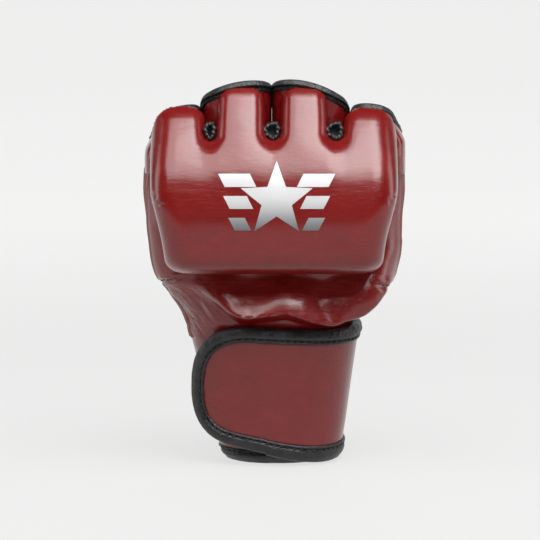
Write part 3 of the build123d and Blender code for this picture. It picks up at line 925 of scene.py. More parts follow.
def pad_relief(points):
    """Height of the soft unevenness and the fine wrinkles of the pad leather."""
    x, y, z = points.T
    soft = 0.22 * lumps(points, 17.0, 3) + 0.05 * lumps(points, 7.0, 4)
    stretched = points / (7.5, 6.0, 1.5)
    lines = np.abs(lumps(stretched, 1.0, 5)) - 0.35
    near_slits = hump(z, FLEX_Z + 14, 15) * smoothstep(-0.2, 0.5, lumps(points, 11.0, 6) + 0.35)
    pinch = hump(z, PAD_FOOT + 38, 9) * smoothstep(PAD_RIGHT - 14, PAD_RIGHT - 3, np.abs(x))
    seam_pull = hump(z, PAD_FOOT + 3, 9) * (np.abs(lumps(points / (3.2, 9, 14), 1.0, 7)) - 0.3)
    return soft + 0.07 * near_slits * lines + 0.4 * pinch * lines + 0.2 * seam_pull


def point_normals(points, faces):
    """Area-weighted normals at points."""
    a, b, c, d = (points[faces[:, k]] for k in range(4))
    across = np.cross(c - a, d - b)
    total = np.zeros_like(points)
    for k in range(4):
        np.add.at(total, faces[:, k], across)
    return unit(total)


def rim_loops(faces):
    """Rims of faces, as arrays of points in order."""
    after = dict(rim_edges(faces).tolist())
    loops = []
    while after:
        start, point = after.popitem()
        loop = [start]
        while point != start:
            loop.append(point)
            point = after.pop(point)
        loops.append(np.array(loop))
    return loops


def capped(points, faces, normals):
    """Faces with their open rims closed by fans, which are the last faces."""
    caps = []
    for loop in rim_loops(faces):
        middle = np.full(len(loop), len(points))
        points = np.concatenate([points, points[loop].mean(0)[None]])
        normals = np.concatenate([normals, np.zeros((1, 3))])
        caps.append(np.stack([np.roll(loop, -1), loop, middle, middle], -1))
    cap = np.concatenate(caps)
    faces = np.concatenate([faces, cap])
    used, faces = np.unique(faces, return_inverse=True)
    return points[used], faces.reshape(-1, 4), normals[used], len(cap)


def knuckle_pad():
    """The padded cover, cut at the foot of the lobes into the main pad and one lobe for each finger."""
    points, faces, layer = surface_of(pad_field, PAD_LOW, PAD_HIGH, PAD_STEP)
    relief = pad_relief(points) * smoothstep(-12, -18, points[:, 1])
    points = points + relief[:, None] * unit(slope_of(pad_field, points))
    normals = point_normals(points, faces)
    cut = int((LOBE_FOOT - PAD_LOW[2]) / PAD_STEP)
    upper = layer[faces].min(1) >= cut
    lobe = sum((points[faces[:, 0], 0] > slit[0]).astype(int) for slit in SLITS)
    main = make_object("knuckle_pad", *pad_piece(points, faces[~upper], normals))
    carry(main, "glove", ["knuckle_cover", "knuckle_foam"])
    for k, finger in enumerate(FINGERS):
        made = make_object(finger + "_lobe", *pad_piece(points, faces[upper & (lobe == k)], normals))
        bend = ("glove", finger + "_finger", (0, 0, LOBE_FOOT), (0, 0, LOBE_FOOT + LOBE_BEND))
        carry(made, bend, [finger + "_cover", finger + "_foam"])


def pad_piece(points, faces, normals):
    """What make_object needs for a capped piece of the pad."""
    points, faces, normals, flat = capped(points, faces, normals)
    return points, faces, PAD_RED, normals, flat


knuckle_pad()


# ---------------------------------------------------------------- leather shell of the hand
SHELL_FOOT = CUFF_TOP - 11
PANEL_TOP = PAD_FOOT + 0.6
INDEX_SEAM = span("index_gusset", 2)[0]
SEAM_SIDES = ((GUSSET_BACK, -1), (GUSSET_FRONT, -1), (GUSSET_FRONT, 1), (WRAP_Y, 1), (GUSSET_BACK, 1))
SEGMENT_CELLS = (32, 24, 180, 12, 14, 32)
PALM_LEFT, PINKY_SIDE, FRONT, THUMB_WRAP, INDEX_SIDE, PALM_RIGHT = range(6)
PUFF = 14.0                   # how far the soft back stands out at its fold
SIDE_PUFF = 2.0               # and at its little-finger end
THUMB_BULGE = 1.4
OPENING_GROOVE = 4.68
CLOTH_EXCESS = 0.03           # how much too large the soft leather is cut
CLOTH_FRAMES = 20
CLOTH_STIFFNESS = 25.0
CLOTH_SHEAR = 12.0
CLOTH_BENDING = 4.0
CLOTH_FAR = 2.0               # how far a place may settle
CLOTH_INWARDS = 0.5           # and how far towards the hand


def seam_s(y, side, z):
    """s of a lengthwise seam at heights z."""
    return hand_skin.where_y(z, y, side)


def shell_heights():
    """Rows of the shell, close together where the leather creases."""
    parts = [
        np.arange(SHELL_FOOT, PANEL_TOP, 0.7),
        np.linspace(PANEL_TOP, INDEX_SEAM, 4)[:-1],
        np.linspace(INDEX_SEAM, ROOT_TOP, 42),
    ]
    return np.concatenate(parts)


def shell_stations(heights):
    """s of every column at every height, and the segment that each column opens."""
    girth = hand_skin.length(heights)
    seams = [-girth / 2] + [seam_s(y, side, heights) for y, side in SEAM_SIDES] + [girth / 2]
    stations = []
    segment = []
    for k, count in enumerate(SEGMENT_CELLS):
        share = np.linspace(0, 1, count, endpoint=False)
        stations.append(seams[k][:, None] * (1 - share) + seams[k + 1][:, None] * share)
        segment += [k] * count
    return np.concatenate(stations, 1), np.array(segment)


heights = shell_heights()
shell_s, shell_segment = shell_stations(heights)
shell_z = np.repeat(heights[:, None], shell_s.shape[1], 1)


def opening_path():
    """Edge of the open palm and the thumb opening, which are one, as seen from outside and run clockwise."""
    girth = hand_skin.length
    low = HEEL_TOP
    corners = [
        (seam_s(WRAP_Y, 1, THUMB_FOOT)[0], THUMB_FOOT),
        (seam_s(WRAP_Y, 1, THUMB_TOP)[0], THUMB_TOP - 1),
        (seam_s(GUSSET_BACK, 1, THUMB_TOP)[0] + 2, THUMB_TOP + 1),
        (seam_s(GUSSET_BACK, 1, BAR_FOOT)[0], BAR_FOOT),
        (girth(BAR_FOOT) + seam_s(GUSSET_BACK, -1, BAR_FOOT)[0], BAR_FOOT),
        (girth(low) + seam_s(GUSSET_BACK, -1, low)[0], low),
        (girth(low) / 2 + 6, low - 1),
        (seam_s(GUSSET_BACK, 1, THUMB_FOOT)[0] + 4, THUMB_FOOT - 0.5),
    ]
    return rounded_path(corners, (9, 6, 7, 11, 13, 13, 12, 8), 1.0)


OPENING = opening_path()


FOLD_CREST = [
    (-60, -2), (-50, -3), (-35, -7), (-15, -18.5), (5, -16), (22, -20), (38, -14), (55, -2), (62, 0),
]                             # place across the hand, height of the soft back's fold from the pad's foot
crest_at = tabled([(x, PAD_FOOT + np.interp(x, *zip(*FOLD_CREST))) for x in range(-66, 67, 6)], -80, 80)


def panel_relief(points, z):
    """Puff and folds of the soft leather between the knuckle pad and the strap."""
    x = points[..., 0]
    rise = z - crest_at(x)
    full = SIDE_PUFF + (PUFF - SIDE_PUFF) * smoothstep(-42, -12, x) * smoothstep(62, 38, x)
    above = 1 - 0.45 * (smoothstep(-2, 18, rise) + np.clip(rise / 16, 0, 1))
    below = 1 - 0.85 * smoothstep(-1, 7, -rise)
    thumb_bulge = THUMB_BULGE * hump(z, PAD_FOOT - 9, 13) * smoothstep(30, 52, x)
    puffed = full * np.minimum(above, below) + thumb_bulge
    return puffed * smoothstep(CUFF_TOP - 10, CUFF_TOP + 1, z) * (points[..., 1] < 4)


def corner_seam(s):
    """Height of the short seams under the pad's lower corners."""
    return PANEL_TOP - 4.5 - 0.19 * (np.abs(s) - 53)


def shell_relief(points, s, z):
    """Height of the folds, seams and unevenness of the hand's leather."""
    y = points[..., 1]
    front = smoothstep(6, -6, y)
    height = panel_relief(points, z) * smoothstep(-2, -12, y)
    lines = 0.4 - np.abs(lumps(points / (8.0, 8.0, 2.6), 1.0, 11))
    slanted = np.stack([s + 1.1 * z, s * 0 + 3, z - 0.4 * s], -1)
    radial = 0.4 - np.abs(lumps(slanted / (2.4, 1, 13.0), 1.0, 12))
    low_left = smoothstep(-8, -26, points[..., 0]) * smoothstep(PAD_FOOT - 2, PAD_FOOT - 12, z)
    height += front * smoothstep(PAD_FOOT + 2, PAD_FOOT - 4, z) * (0.12 * lines + 0.5 * low_left * radial)
    height += 0.45 * lumps(points, 15.0, 13) + 0.05 * lumps(points, 6.0, 14)
    gusset = hump(y, GUSSET_FRONT + 5.5, 6.0) * smoothstep(PAD_FOOT - 4, PAD_FOOT + 4, z)
    full = -1.8 + 3.3 * smoothstep(PAD_FOOT + 18, PAD_FOOT + 40, z)
    height += full * gusset
    for seam_y, side in ((GUSSET_FRONT, -1), (GUSSET_FRONT, 1)):
        away = np.abs(s - seam_s(seam_y, side, heights)[:, None])
        height += 0.7 * hump(away, 2.2, 1.8) - 1.0 * hump(away, 0, 1.5)
    cross = np.abs(z - corner_seam(s))
    corner = smoothstep(44, 50, np.abs(s)) * (y < 4)
    height += (0.3 * hump(cross, 2.0, 1.6) - 0.7 * hump(cross, 0, 1.4)) * corner
    height -= 0.5 * smoothstep(ROOT_TOP - 2, ROOT_TOP, z)
    return height


def cloth_folds(grid):
    """How far a sheet of leather, held round its border and cut a little too large, moves as it settles."""
    number = np.arange(grid[..., 0].size).reshape(grid.shape[:2])
    faces = np.stack([number[:-1, :-1], number[:-1, 1:], number[1:, 1:], number[1:, :-1]], -1)
    mesh = bpy.data.meshes.new("soft_back")
    mesh.from_pydata((grid.reshape(-1, 3) * MM).tolist(), [], faces.reshape(-1, 4).tolist())
    made = bpy.data.objects.new("soft_back", mesh)
    scene = bpy.context.scene
    scene.collection.objects.link(made)
    edges = (number[:2], number[-2:], number[:, :2], number[:, -2:])
    border = np.concatenate([edge.ravel() for edge in edges])
    made.vertex_groups.new(name="held").add(border.tolist(), 1.0, "REPLACE")
    settings = made.modifiers.new("folds", "CLOTH").settings
    settings.quality = 8
    settings.mass = 0.25
    settings.tension_stiffness = CLOTH_STIFFNESS
    settings.compression_stiffness = CLOTH_STIFFNESS
    settings.shear_stiffness = CLOTH_SHEAR
    settings.bending_stiffness = CLOTH_BENDING
    settings.shrink_min = -CLOTH_EXCESS
    settings.vertex_group_mass = "held"
    settings.effector_weights.gravity = 0
    for moment in range(1, CLOTH_FRAMES + 1):
        scene.frame_set(moment)
    settled = made.evaluated_get(bpy.context.evaluated_depsgraph_get()).data
    places = np.empty(3 * len(settled.vertices))
    settled.vertices.foreach_get("co", places)
    bpy.data.objects.remove(made)
    scene.frame_set(1)
    shift = places.reshape(grid.shape) / MM - grid
    for _ in range(3):
        for axis in (0, 1):
            shift = (2 * shift + np.roll(shift, 1, axis) + np.roll(shift, -1, axis)) / 4
    far = np.linalg.norm(shift, axis=-1, keepdims=True)
    return shift * np.minimum(1, CLOTH_FAR / np.maximum(far, 0.01))


def spread_shift(shift, rows, columns):
    """The shift of the simulated sheet at every place of the shell, none away from it."""
    full = np.zeros_like(shell_out)
    inside = np.arange(columns[0], columns[-1] + 1)
    for axis in range(3):
        wide = np.stack([np.interp(inside, columns, row) for row in shift[..., axis]])
        tall = np.stack([np.interp(np.arange(rows[0], rows[-1] + 1), rows, column) for column in wide.T])
        full[rows[0] : rows[-1] + 1, inside[0] : inside[-1] + 1, axis] = tall.T
    out = hand_skin.out(shell_s, shell_z)
    outwards = (full * out).sum(-1, keepdims=True)
    return full + out * (np.maximum(outwards, -CLOTH_INWARDS) - outwards)


shell_points = hand_skin.at(shell_s, shell_z)
shell_height = shell_relief(shell_points, shell_s, shell_z)
shell_out = hand_skin.at(shell_s, shell_z, shell_height)
shell_shift = np.zeros_like(shell_out)
soft_rows = np.flatnonzero((heights > CUFF_TOP - 8) & (heights < PANEL_TOP - 0.5))[::2]
soft_columns = np.flatnonzero(shell_segment == FRONT)[2:-2:2]
shell_shift = spread_shift(cloth_folds(shell_out[soft_rows][:, soft_columns]), soft_rows, soft_columns)
shell_out = shell_out + shell_shift


def open_cells():
    """Which cells of the shell the opening takes away."""
    s = (shell_s[:-1] + np.roll(shell_s, -1, 1)[:-1]) / 2
    s[:, -1] = shell_s[:-1, -1] + 1
    z = (shell_z[:-1] + shell_z[1:]) / 2
    return inside_path(s, z, OPENING) | inside_path(s + hand_skin.length(z), z, OPENING)


SHELL_OPEN = open_cells()


def shell_panel(name, cells, material, node, outer, inner):
    """One panel of the shell: its cells, outside the openings."""
    return sheet(name, outer, inner, material, "glove", [node], cells & ~SHELL_OPEN)


def shell_wall(thickness):
    """Thickness of the shell's pieces, thinner where they go under the cuff."""
    return np.where(shell_z < CUFF_TOP, min(thickness, 1.0), thickness)


def hand_panels():
    """Leather panels and the lining of the hand."""
    z = (shell_z[:-1] + shell_z[1:]) / 2
    segment = np.broadcast_to(shell_segment, z.shape)
    middle = (BAR_FOOT + HEEL_TOP) / 2
    on_palm = (segment == PALM_LEFT) | (segment == PALM_RIGHT)
    on_index = (segment == THUMB_WRAP) | (segment == INDEX_SIDE)
    heel = (on_palm & (z < middle)) | ((segment == INDEX_SIDE) & (z < INDEX_SEAM))
    back = ((segment == FRONT) & (z < PANEL_TOP)) | ((segment == THUMB_WRAP) & (z < INDEX_SEAM))
    panels = (
        ("back_of_hand", back, PANEL_RED, "hand_back_panel"),
        ("knuckle_back", (segment == FRONT) & (z > PANEL_TOP), PAD_RED, "knuckle_backing"),
        ("pinky_side", segment == PINKY_SIDE, PANEL_RED, "pinky_gusset"),
        ("index_side", on_index & (z > INDEX_SEAM), PANEL_RED, "index_gusset"),
        ("palm_bar_leather", on_palm & (z > middle), PAD_RED, "palm_bar"),
        ("heel_leather", heel & (z > CUFF_TOP - 3), PANEL_RED, "heel_panel"),
    )
    leather_back = hand_skin.at(shell_s, shell_z, shell_height - shell_wall(LEATHER)) + shell_shift
    for name, cells, material, node in panels:
        shell_panel(name, cells, material, node, shell_out, leather_back)
    knit = hand_skin.at(shell_s, shell_z, np.minimum(shell_height, 0.4) * 0.6 - LEATHER - 0.1)
    knit_back = hand_skin.at(shell_s, shell_z, -(LEATHER + 0.1) - shell_wall(LINING))
    shell_panel("hand_knit", z > CUFF_TOP, KNIT, "hand_lining", knit, knit_back)


def on_shell(s, z):
    """Places on the shell's leather, and which way they face."""
    rows = np.clip(np.searchsorted(heights, z), 0, len(heights) - 1)
    found = [[np.interp(a, shell_s[k], shell_out[k, :, axis]) for axis in range(3)] for a, k in zip(s, rows)]
    out = hand_skin.out(s, z)
    return np.array(found) + 0.12 * out, out


def seam_threads():
    """Black thread of the seams under the pad's corners, red thread along the side seams."""
    across = []
    along = []
    for side in (-1, 1):
        s = side * np.linspace(50, 71, 30)
        across.append(on_shell(s, corner_seam(s)))
        z = np.linspace(PANEL_TOP + 1, ROOT_TOP - 3, 80)
        along.append(on_shell(seam_s(GUSSET_FRONT, side, z), z))
    stitches("corner_thread", across, "glove", 2.3, 0.7, 0.42)
    stitches("side_seam_thread", along, "glove", 2.0, 1.1, 0.28, RED_THREAD)


def opening_edges():
    """Folded edging round the open palm and the thumb opening, in three lengths, and its thread."""
    s, z = OPENING.T
    in_bar = z > (THUMB_TOP + BAR_FOOT) / 2 + 3
    in_thumb = ~in_bar & (s < seam_s(GUSSET_BACK, 1, THUMB_TOP)[0] + 4)
    groups = {"palm_bar": in_bar, "thumb": in_thumb, "heel": ~in_bar & ~in_thumb}
    thick = LEATHER + LINING
    fold = {"width": 6.5, "middle": -thick / 2, "thick": thick, "groove": OPENING_GROOVE}
    for name, chosen in groups.items():
        start = int(np.argmax(chosen & ~np.roll(chosen, 1)))
        run = np.roll(np.arange(len(OPENING)), -start)[: int(chosen.sum()) + 1]
        made = edging(name + "_edging", hand_skin, OPENING, part=run, **fold)
        carry(made, "glove", [name + "_binding"])
    line = seam_line(hand_skin, OPENING, OPENING_GROOVE + 0.02, 0.75, closed=True)
    stitches("opening_stitches", [line], "glove")


hand_panels()
seam_threads()
opening_edges()


# ---------------------------------------------------------------- finger stalls
STALLS = {
    "pinky": (EDGES[0] - 30.2, EDGES[0] - 2.4, 6.0, 0.0, 13),
    "ring": (EDGES[0] - 1.2, EDGES[1] + 1.6, 0.0, 0.0, 13),
    "middle": (EDGES[1] + 1.7, EDGES[2] + 8.3, 0.0, 0.0, 13),
    "index": (EDGES[2] + 10.2, EDGES[2] + 37.2, 0.0, 6.4, 18),
}                             # left and right side at the foot, how much each draws in, and at what rise
MOUTHS = {
    "pinky": (29.0, 25.5, 15.5, 18),
    "ring": (41.0, 36.0, 22, 28.5),
    "middle": (41.0, 26.0, 22, 36.5),
    "index": (30.3, 21, 18, 25),
}                             # rise of the mouth's edge in front, right, at the back and left
STALL_FOOT = FLEX_Z - 4
STALL_WALL = 1.8
STALL_SQUARENESS = 3.2
STALL_BEND = 24.0             # length given for a stall's bend
STALL_RED = red_leather("red_stall_leather", 0.10, 0.03, 0.26)
RIM_GROOVE = 2.6
RIM_FOLD = {
    "width": 3.9, "middle": -STALL_WALL / 2, "thick": STALL_WALL, "wrap": 0.8, "groove": RIM_GROOVE,
}


def rim_height(heights, turn):
    """Height of a finger's mouth at an angle from the front, 0, round the thumb side."""
    front, right, back, left = heights
    level = (front + right + back + left) / 4
    return FLEX_Z + (
        level
        + (front - back) / 2 * np.cos(turn)
        + (right - left) / 2 * np.sin(turn)
        + (front + back - right - left) / 4 * np.cos(2 * turn)
    )


def tube_solid(outer, inner):
    """Points and faces of a wall between two rings of rows."""
    loops = np.concatenate([outer, inner[::-1]])
    rows, columns = loops.shape[:2]
    faces = ring_faces(rows + 1, columns) % (rows * columns)
    return loops.reshape(-1, 3), faces


def stall_skin(finger):
    """Outside of one finger's leather tube."""
    left, right, left_in, right_in, neck = STALLS[finger]
    half_deep = (STALL_BACK - STALL_FRONT) / 2 + 0.8
    middle_y = (STALL_BACK + STALL_FRONT) / 2
    stations = []
    for rise in (-6, 0, 4, 8, 12, 16, 20, 24, 28, 34, 50):
        drawn = smoothstep(neck - 8, neck + 8, rise)
        low = left + left_in * drawn
        high = right - right_in * drawn
        sizes = (high - low) / 2, half_deep - 0.6 * (rise < 3), (low + high) / 2, middle_y, STALL_SQUARENESS
        stations.append((FLEX_Z + rise, *sizes))
    return tube_skin(STALL_FOOT - 2, FLEX_Z + 50, stations, count=360)


def finger_stall(finger):
    """Leather tube of one finger with its folded edging."""
    skin = stall_skin(finger)
    turn = np.linspace(-pi, pi, 144, endpoint=False)
    share = np.linspace(0, 1, 34)[:, None]
    top = rim_height(MOUTHS[finger], turn) - 0.9
    z = STALL_FOOT + share * (top - STALL_FOOT)
    s = turn / (2 * pi) * skin.length(z)
    base = skin.at(s, z)
    soft = 0.6 * lumps(base / (1, 1, 2.2), 9.0, 31) + 0.2 * lumps(base / (1, 1, 1.6), 3.0, 32)
    soft *= np.cos(turn) ** 2 * smoothstep(0.85, 0.6, share)
    tube = tube_solid(skin.at(s, z, soft), skin.at(s, z, soft - STALL_WALL))
    bend = ("glove", finger + "_finger", (0, 0, FLEX_Z), (0, 0, FLEX_Z + STALL_BEND))
    carry(make_object(finger + "_tube", *tube, STALL_RED), bend, [finger + "_stall"])

    turn = np.linspace(pi, -pi, 130, endpoint=False)
    height = rim_height(MOUTHS[finger], turn)
    path = np.stack([turn / (2 * pi) * skin.length(height), height], -1)
    seed = sum(map(ord, finger))
    rim = edging(finger + "_rim", skin, path, seed=seed, **RIM_FOLD)
    carry(rim, bend, [finger + "_binding"])
    line = seam_line(skin, path, RIM_GROOVE, 0.5, closed=True)
    stitches(finger + "_rim_stitches", [line], bend, 2.0, 0.8, 0.3)


for finger in FINGERS:
    finger_stall(finger)


# ---------------------------------------------------------------- wrist cuff
HEM_LEVEL = span("cuff_leather", 2)[0]
CUFF_GAP = 4.0                # half of the cuff's opening at the inner wrist
CUFF_PADDING = 2.6
CUFF_LAYERS = (
    ("cuff_shell", "cuff_leather", 0.0, LEATHER, STRAP_RED, "red_leather"),
    ("cuff_foam_layer", "cuff_padding", LEATHER, CUFF_PADDING, FOAM, "foam"),
    ("cuff_knit", "cuff_lining", LEATHER + CUFF_PADDING, LINING, KNIT, "lining_fabric"),
)
LAYER_GAP = 0.03
HEM_GROOVE = 3.0


def cuff_layers():
    """Leather, padding and lining of the cuff, open at the inner wrist."""
    z = np.linspace(HEM_LEVEL, CUFF_TOP - 1, 60)[:, None]
    share = np.linspace(-1, 1, 200)
    s = share * (cuff_skin.length(z) / 2 - CUFF_GAP)
    z = np.broadcast_to(z, s.shape)
    base = cuff_skin.at(s, z)
    soft = 0.25 * lumps(base, 12.0, 41) + 0.1 * lumps(base, 3.5, 42)
    for name, node, depth, thickness, material, slot in CUFF_LAYERS:
        outer = cuff_skin.at(s, z, soft - depth - LAYER_GAP)
        inner = cuff_skin.at(s, z, soft - depth - thickness + LAYER_GAP)
        sheet(name, outer, inner, material, "glove", [node])


def hem_edging():
    """Folded edging on which the glove stands."""
    layers = LEATHER + CUFF_PADDING + LINING
    ends = cuff_skin.length(0.0) / 2 - CUFF_GAP
    nose = (layers / 2 + 1.1) * 0.9 - 0.3
    path = np.stack([np.linspace(-ends, ends, 150), np.full(150, nose)], -1)
    made = edging("hem_edging", cuff_skin, path, 4.4, -layers / 2, layers, HEM_GROOVE, seed=5, closed=False)
    low = min(v.co.z for v in made.data.vertices)
    for vertex in made.data.vertices:
        vertex.co.z -= low * smoothstep(5 * MM, 1 * MM, vertex.co.z)
    carry(made, "glove", ["cuff_hem_binding"])
    stitches("hem_stitches", [seam_line(cuff_skin, path, HEM_GROOVE, 0.5)], "glove", 2.2, 0.8, 0.32)


cuff_layers()
hem_edging()


# ---------------------------------------------------------------- wrap strap
def strap_path():
    """Outline of the strap on its skin, anticlockwise from the top edge above the fold."""
    top = STRAP_TOP - 1.3
    corners = [
        (SPLIT_S, top + 0.3),
        (-22.8, top + 1.6),
        (STRAP_TIP_S, top - 15.5),
        (STRAP_TIP_S + 0.4, STRAP_FOOT + 11.3),
        (14.0, STRAP_FOOT - 0.2),
        (30.0, STRAP_FOOT + 0.2),
        (cuff_skin.length(6.0) / 2 + STRAP_BACK, STRAP_FOOT + 3.0),
        (cuff_skin.length(70.0) / 2 + STRAP_BACK, top + 0.5),
        (60.0, top + 1.0),
        (34.0, top - 1.2),
    ]
    radii = (9, 29, 29, 19, 14, 10, 7, 7, 12, 12)
    path = rounded_path(corners, radii, 1.0)
    start = int(np.argmin(np.abs(path[:, 0] - SPLIT_S) + np.where(path[:, 1] > 40, 0, 99)))
    return np.roll(path, -start, axis=0)


STRAP = strap_path()
STRAP_GROOVE = 3.9
STRAP_FOLD = {
    "width": 5.6, "middle": STRAP_THICK / 2, "thick": STRAP_THICK, "wrap": 1.25, "groove": STRAP_GROOVE,
}
STRAP_SEED = 51
SWING_BEND = ("glove", "strap_front", (0, 12, 0), (0, -10, 0))
PEEL_BEND = ("strap_front", "strap_tip", (2, 0, 0), (-18, 0, 0))


def strap_edges(s):
    """Lower and upper edge of the strap at s."""
    tip = int(np.argmin(STRAP[:, 0]))
    far = int(np.argmax(STRAP[:, 0]))
    lower = STRAP[tip:far]
    upper = np.concatenate([STRAP[far:], STRAP[:tip]])[::-1]
    return np.interp(s, *lower[np.argsort(lower[:, 0])].T), np.interp(s, *upper[np.argsort(upper[:, 0])].T)


def strap_sheet(name, s, rise, layer, bend, nodes):
    """A sheet of the strap: a layer is its two heights off the strap's inner face, material and slot."""
    low_h, high_h, material, slot = layer
    low, high = strap_edges(s)
    low, high = low + 1.0, high - 1.0
    z = low + rise * (high - low)
    base = wrap_skin.at(s, z)
    tip = smoothstep(-20, -36, s)
    edge = np.minimum(z - low, high - z)
    creases = 0.35 - np.abs(lumps(np.stack([s, z * 0, z], -1) / (9.0, 1, 1.7), 1.0, STRAP_SEED))
    soft = 0.22 * lumps(base, 16.0, STRAP_SEED + 1) + 0.28 * tip * creases * smoothstep(3, 9, edge)
    sink = -0.35 * smoothstep(5.4, 3.2, np.minimum(edge, s - STRAP[:, 0].min()))
    outer = wrap_skin.at(s, z, high_h + soft + sink)
    inner = wrap_skin.at(s, z, low_h + soft * 0.5)
    sheet(name, outer, inner, material, bend, nodes)


def strap_sheets():
    """Leather and lining of the strap's tip and of its main length."""
    rise = np.linspace(0, 1, 90)[:, None]
    left = STRAP[:, 0].min() + 1.0
    tip_s = left + (SPLIT_S - left) * np.linspace(0, 1, 84) ** 1.3 + 0 * rise
    level = STRAP_FOOT + rise * (STRAP_TOP - STRAP_FOOT)
    end = cuff_skin.length(level) / 2 + STRAP_BACK - 1.0
    main_s = SPLIT_S + np.linspace(0, 1, 150) * (end - SPLIT_S)
    skin = (STRAP_LINING + 0.05, STRAP_THICK, STRAP_RED, "red_leather")
    knit = (0.0, STRAP_LINING, KNIT, "lining_fabric")
    strap_sheet("strap_tip_skin", tip_s, rise, skin, PEEL_BEND, ["strap_tip_leather"])
    strap_sheet("strap_tip_knit", tip_s, rise, knit, PEEL_BEND, ["strap_tip_lining"])
    strap_sheet("strap_skin", main_s, rise, skin, SWING_BEND, ["strap_front_leather", "strap_base_leather"])
    strap_sheet("strap_knit", main_s, rise, knit, SWING_BEND, ["strap_front_lining", "strap_base_lining"])


def strap_edging():
    """Folded edging of the strap with its thread, in two lengths."""
    ahead = int(np.argmax(STRAP[10:, 0] > SPLIT_S)) + 10
    main = np.r_[ahead : len(STRAP), 0]
    lengths = (
        ("strap_tip_edging", np.arange(ahead + 1), PEEL_BEND, ["strap_tip_binding"]),
        ("strap_edging", main, SWING_BEND, ["strap_front_binding", "strap_base_binding"]),
    )
    points, outward = seam_line(wrap_skin, STRAP, STRAP_GROOVE, STRAP_THICK + 0.75, closed=True)
    for name, part, bend, nodes in lengths:
        made = edging(name, wrap_skin, STRAP, seed=8, part=part, **STRAP_FOLD)
        carry(made, bend, nodes)
        stitches(name + "_stitches", [(points[part], outward[part])], bend, 2.5, 0.9, 0.4)


strap_sheets()
strap_edging()


PATCH_ROUND = 3.0
PATCH_CELL = 0.7


def patch(name, skin, across, up, low_h, high_h, material, body, node):
    """A flat patch of hook or loop with rounded corners lying on a skin."""
    (left, right), (foot, top) = across, up
    outline = rounded_path([(left, foot), (right, foot), (right, top), (left, top)], PATCH_ROUND, 0.6)
    s = np.arange(left, right + 0.3, PATCH_CELL)[None, :]
    z = np.arange(foot, top + 0.3, PATCH_CELL)[:, None]
    s, z = np.broadcast_arrays(s, z)
    outer = skin.at(s, z, high_h + 0.1 * lumps(skin.at(s, z), 2.5, 61))
    inner = skin.at(s, z, low_h)
    cells = all_cells(outer) & inside_path(s[:-1] + PATCH_CELL / 2, z[:-1] + PATCH_CELL / 2, outline)
    sheet(name, outer, inner, material, body, [node], cells)


def closures():
    """Loop patch on the cuff, hook patch under the tip and the anchor of the sewn end."""
    low_x, high_x = span("loop_patch", 0)
    loop_place = (low_x + 2, high_x + 2), span("loop_patch", 2)
    patch("loop_field", cuff_skin, *loop_place, 0.25, 1.3, LOOP_PILE, "glove", "loop_patch")
    hook_place = (-33.0, -9.0), span("hook_patch", 2)
    patch("hook_field", wrap_skin, *hook_place, -1.1, -0.05, HOOK_TAPE, PEEL_BEND, "hook_patch")
    z = np.linspace(*span("strap_anchor", 2), 50)[:, None]
    s = cuff_skin.length(z) / 2 + np.linspace(STRAP_BACK - 14, STRAP_BACK - 8, 8)
    z = np.broadcast_to(z, s.shape)
    outer = cuff_skin.at(s, z, STRAP_STAND - 0.05)
    inner = cuff_skin.at(s, z, 0.3)
    sheet("strap_anchor_leather", outer, inner, BLACK, "glove", ["strap_anchor"])


closures()


# ---------------------------------------------------------------- webs and thread on the pad
WEB_Y = -31.5
WEB_Z = SLIT_FOOT + 4.6
WEB_TALL = 3.4
WEB_LEAN = 0.35
WEB_TUBE = 1.15


def web_ring(name, x, half_wide):
    """Black folded edging round the small hole where two finger stalls meet, and the knit cup behind it."""
    turn = np.linspace(0, 2 * pi, 44, endpoint=False)[:, None]
    around = np.linspace(0, 2 * pi, 12, endpoint=False)[None, :]
    wobble = 1 + 0.10 * np.sin(3 * turn + x) + 0.06 * np.sin(7 * turn)
    tube = WEB_TUBE * (1 + 0.2 * np.sin(9 * turn + around))
    flat_x = (half_wide * wobble + tube * np.cos(around)) * np.cos(turn)
    flat_z = (WEB_TALL * wobble + tube * np.cos(around)) * np.sin(turn)
    depth = 1.3 * tube * np.sin(around)
    points = np.stack([x + flat_x, WEB_Y + depth + flat_z * WEB_LEAN, WEB_Z + flat_z], -1)
    carry(swept(name, points, BLACK, True), "glove")
    share = np.linspace(0, 1, 5)
    rise = WEB_TALL * np.sin(turn)
    cup_y = WEB_Y + 4.5 - 3.0 * share**2 + rise * WEB_LEAN
    back = np.stack([x + half_wide * np.cos(turn) * share, cup_y, WEB_Z + rise * share], -1)
    cup = np.concatenate([back, back[:, ::-1] + (0, 0.8, 0)], 1)
    carry(swept(name + "_cup", cup, KNIT, True), "glove")


for first, second, slit in zip(FINGERS, FINGERS[1:], SLITS):
    web_ring(f"{first}_{second}_web", slit[0] - 0.3, slit[2] - 0.5)


# ---------------------------------------------------------------- emblem
EMBLEM_X = 1.0
EMBLEM_Z = FLEX_Z - 13.0
STAR_REACH = 18.5
STAR_WAIST = 0.42
STAR_POINTS = 5
BARS = ((11.5, 27.0), (13.0, 24.5), (14.0, 22.0))    # near and far end of each row
BAR_TOP = 12.5
BAR_PITCH = 10.5
BAR_HEIGHT = 6.2
BAR_SLANT = 1.6
FOIL = (0.14, 0.06)           # how far the foil stands out of the leather and goes into it
# the silver's painted light fades between these two heights
SILVER = silver_print(FLEX_Z - 32, FLEX_Z - 10)


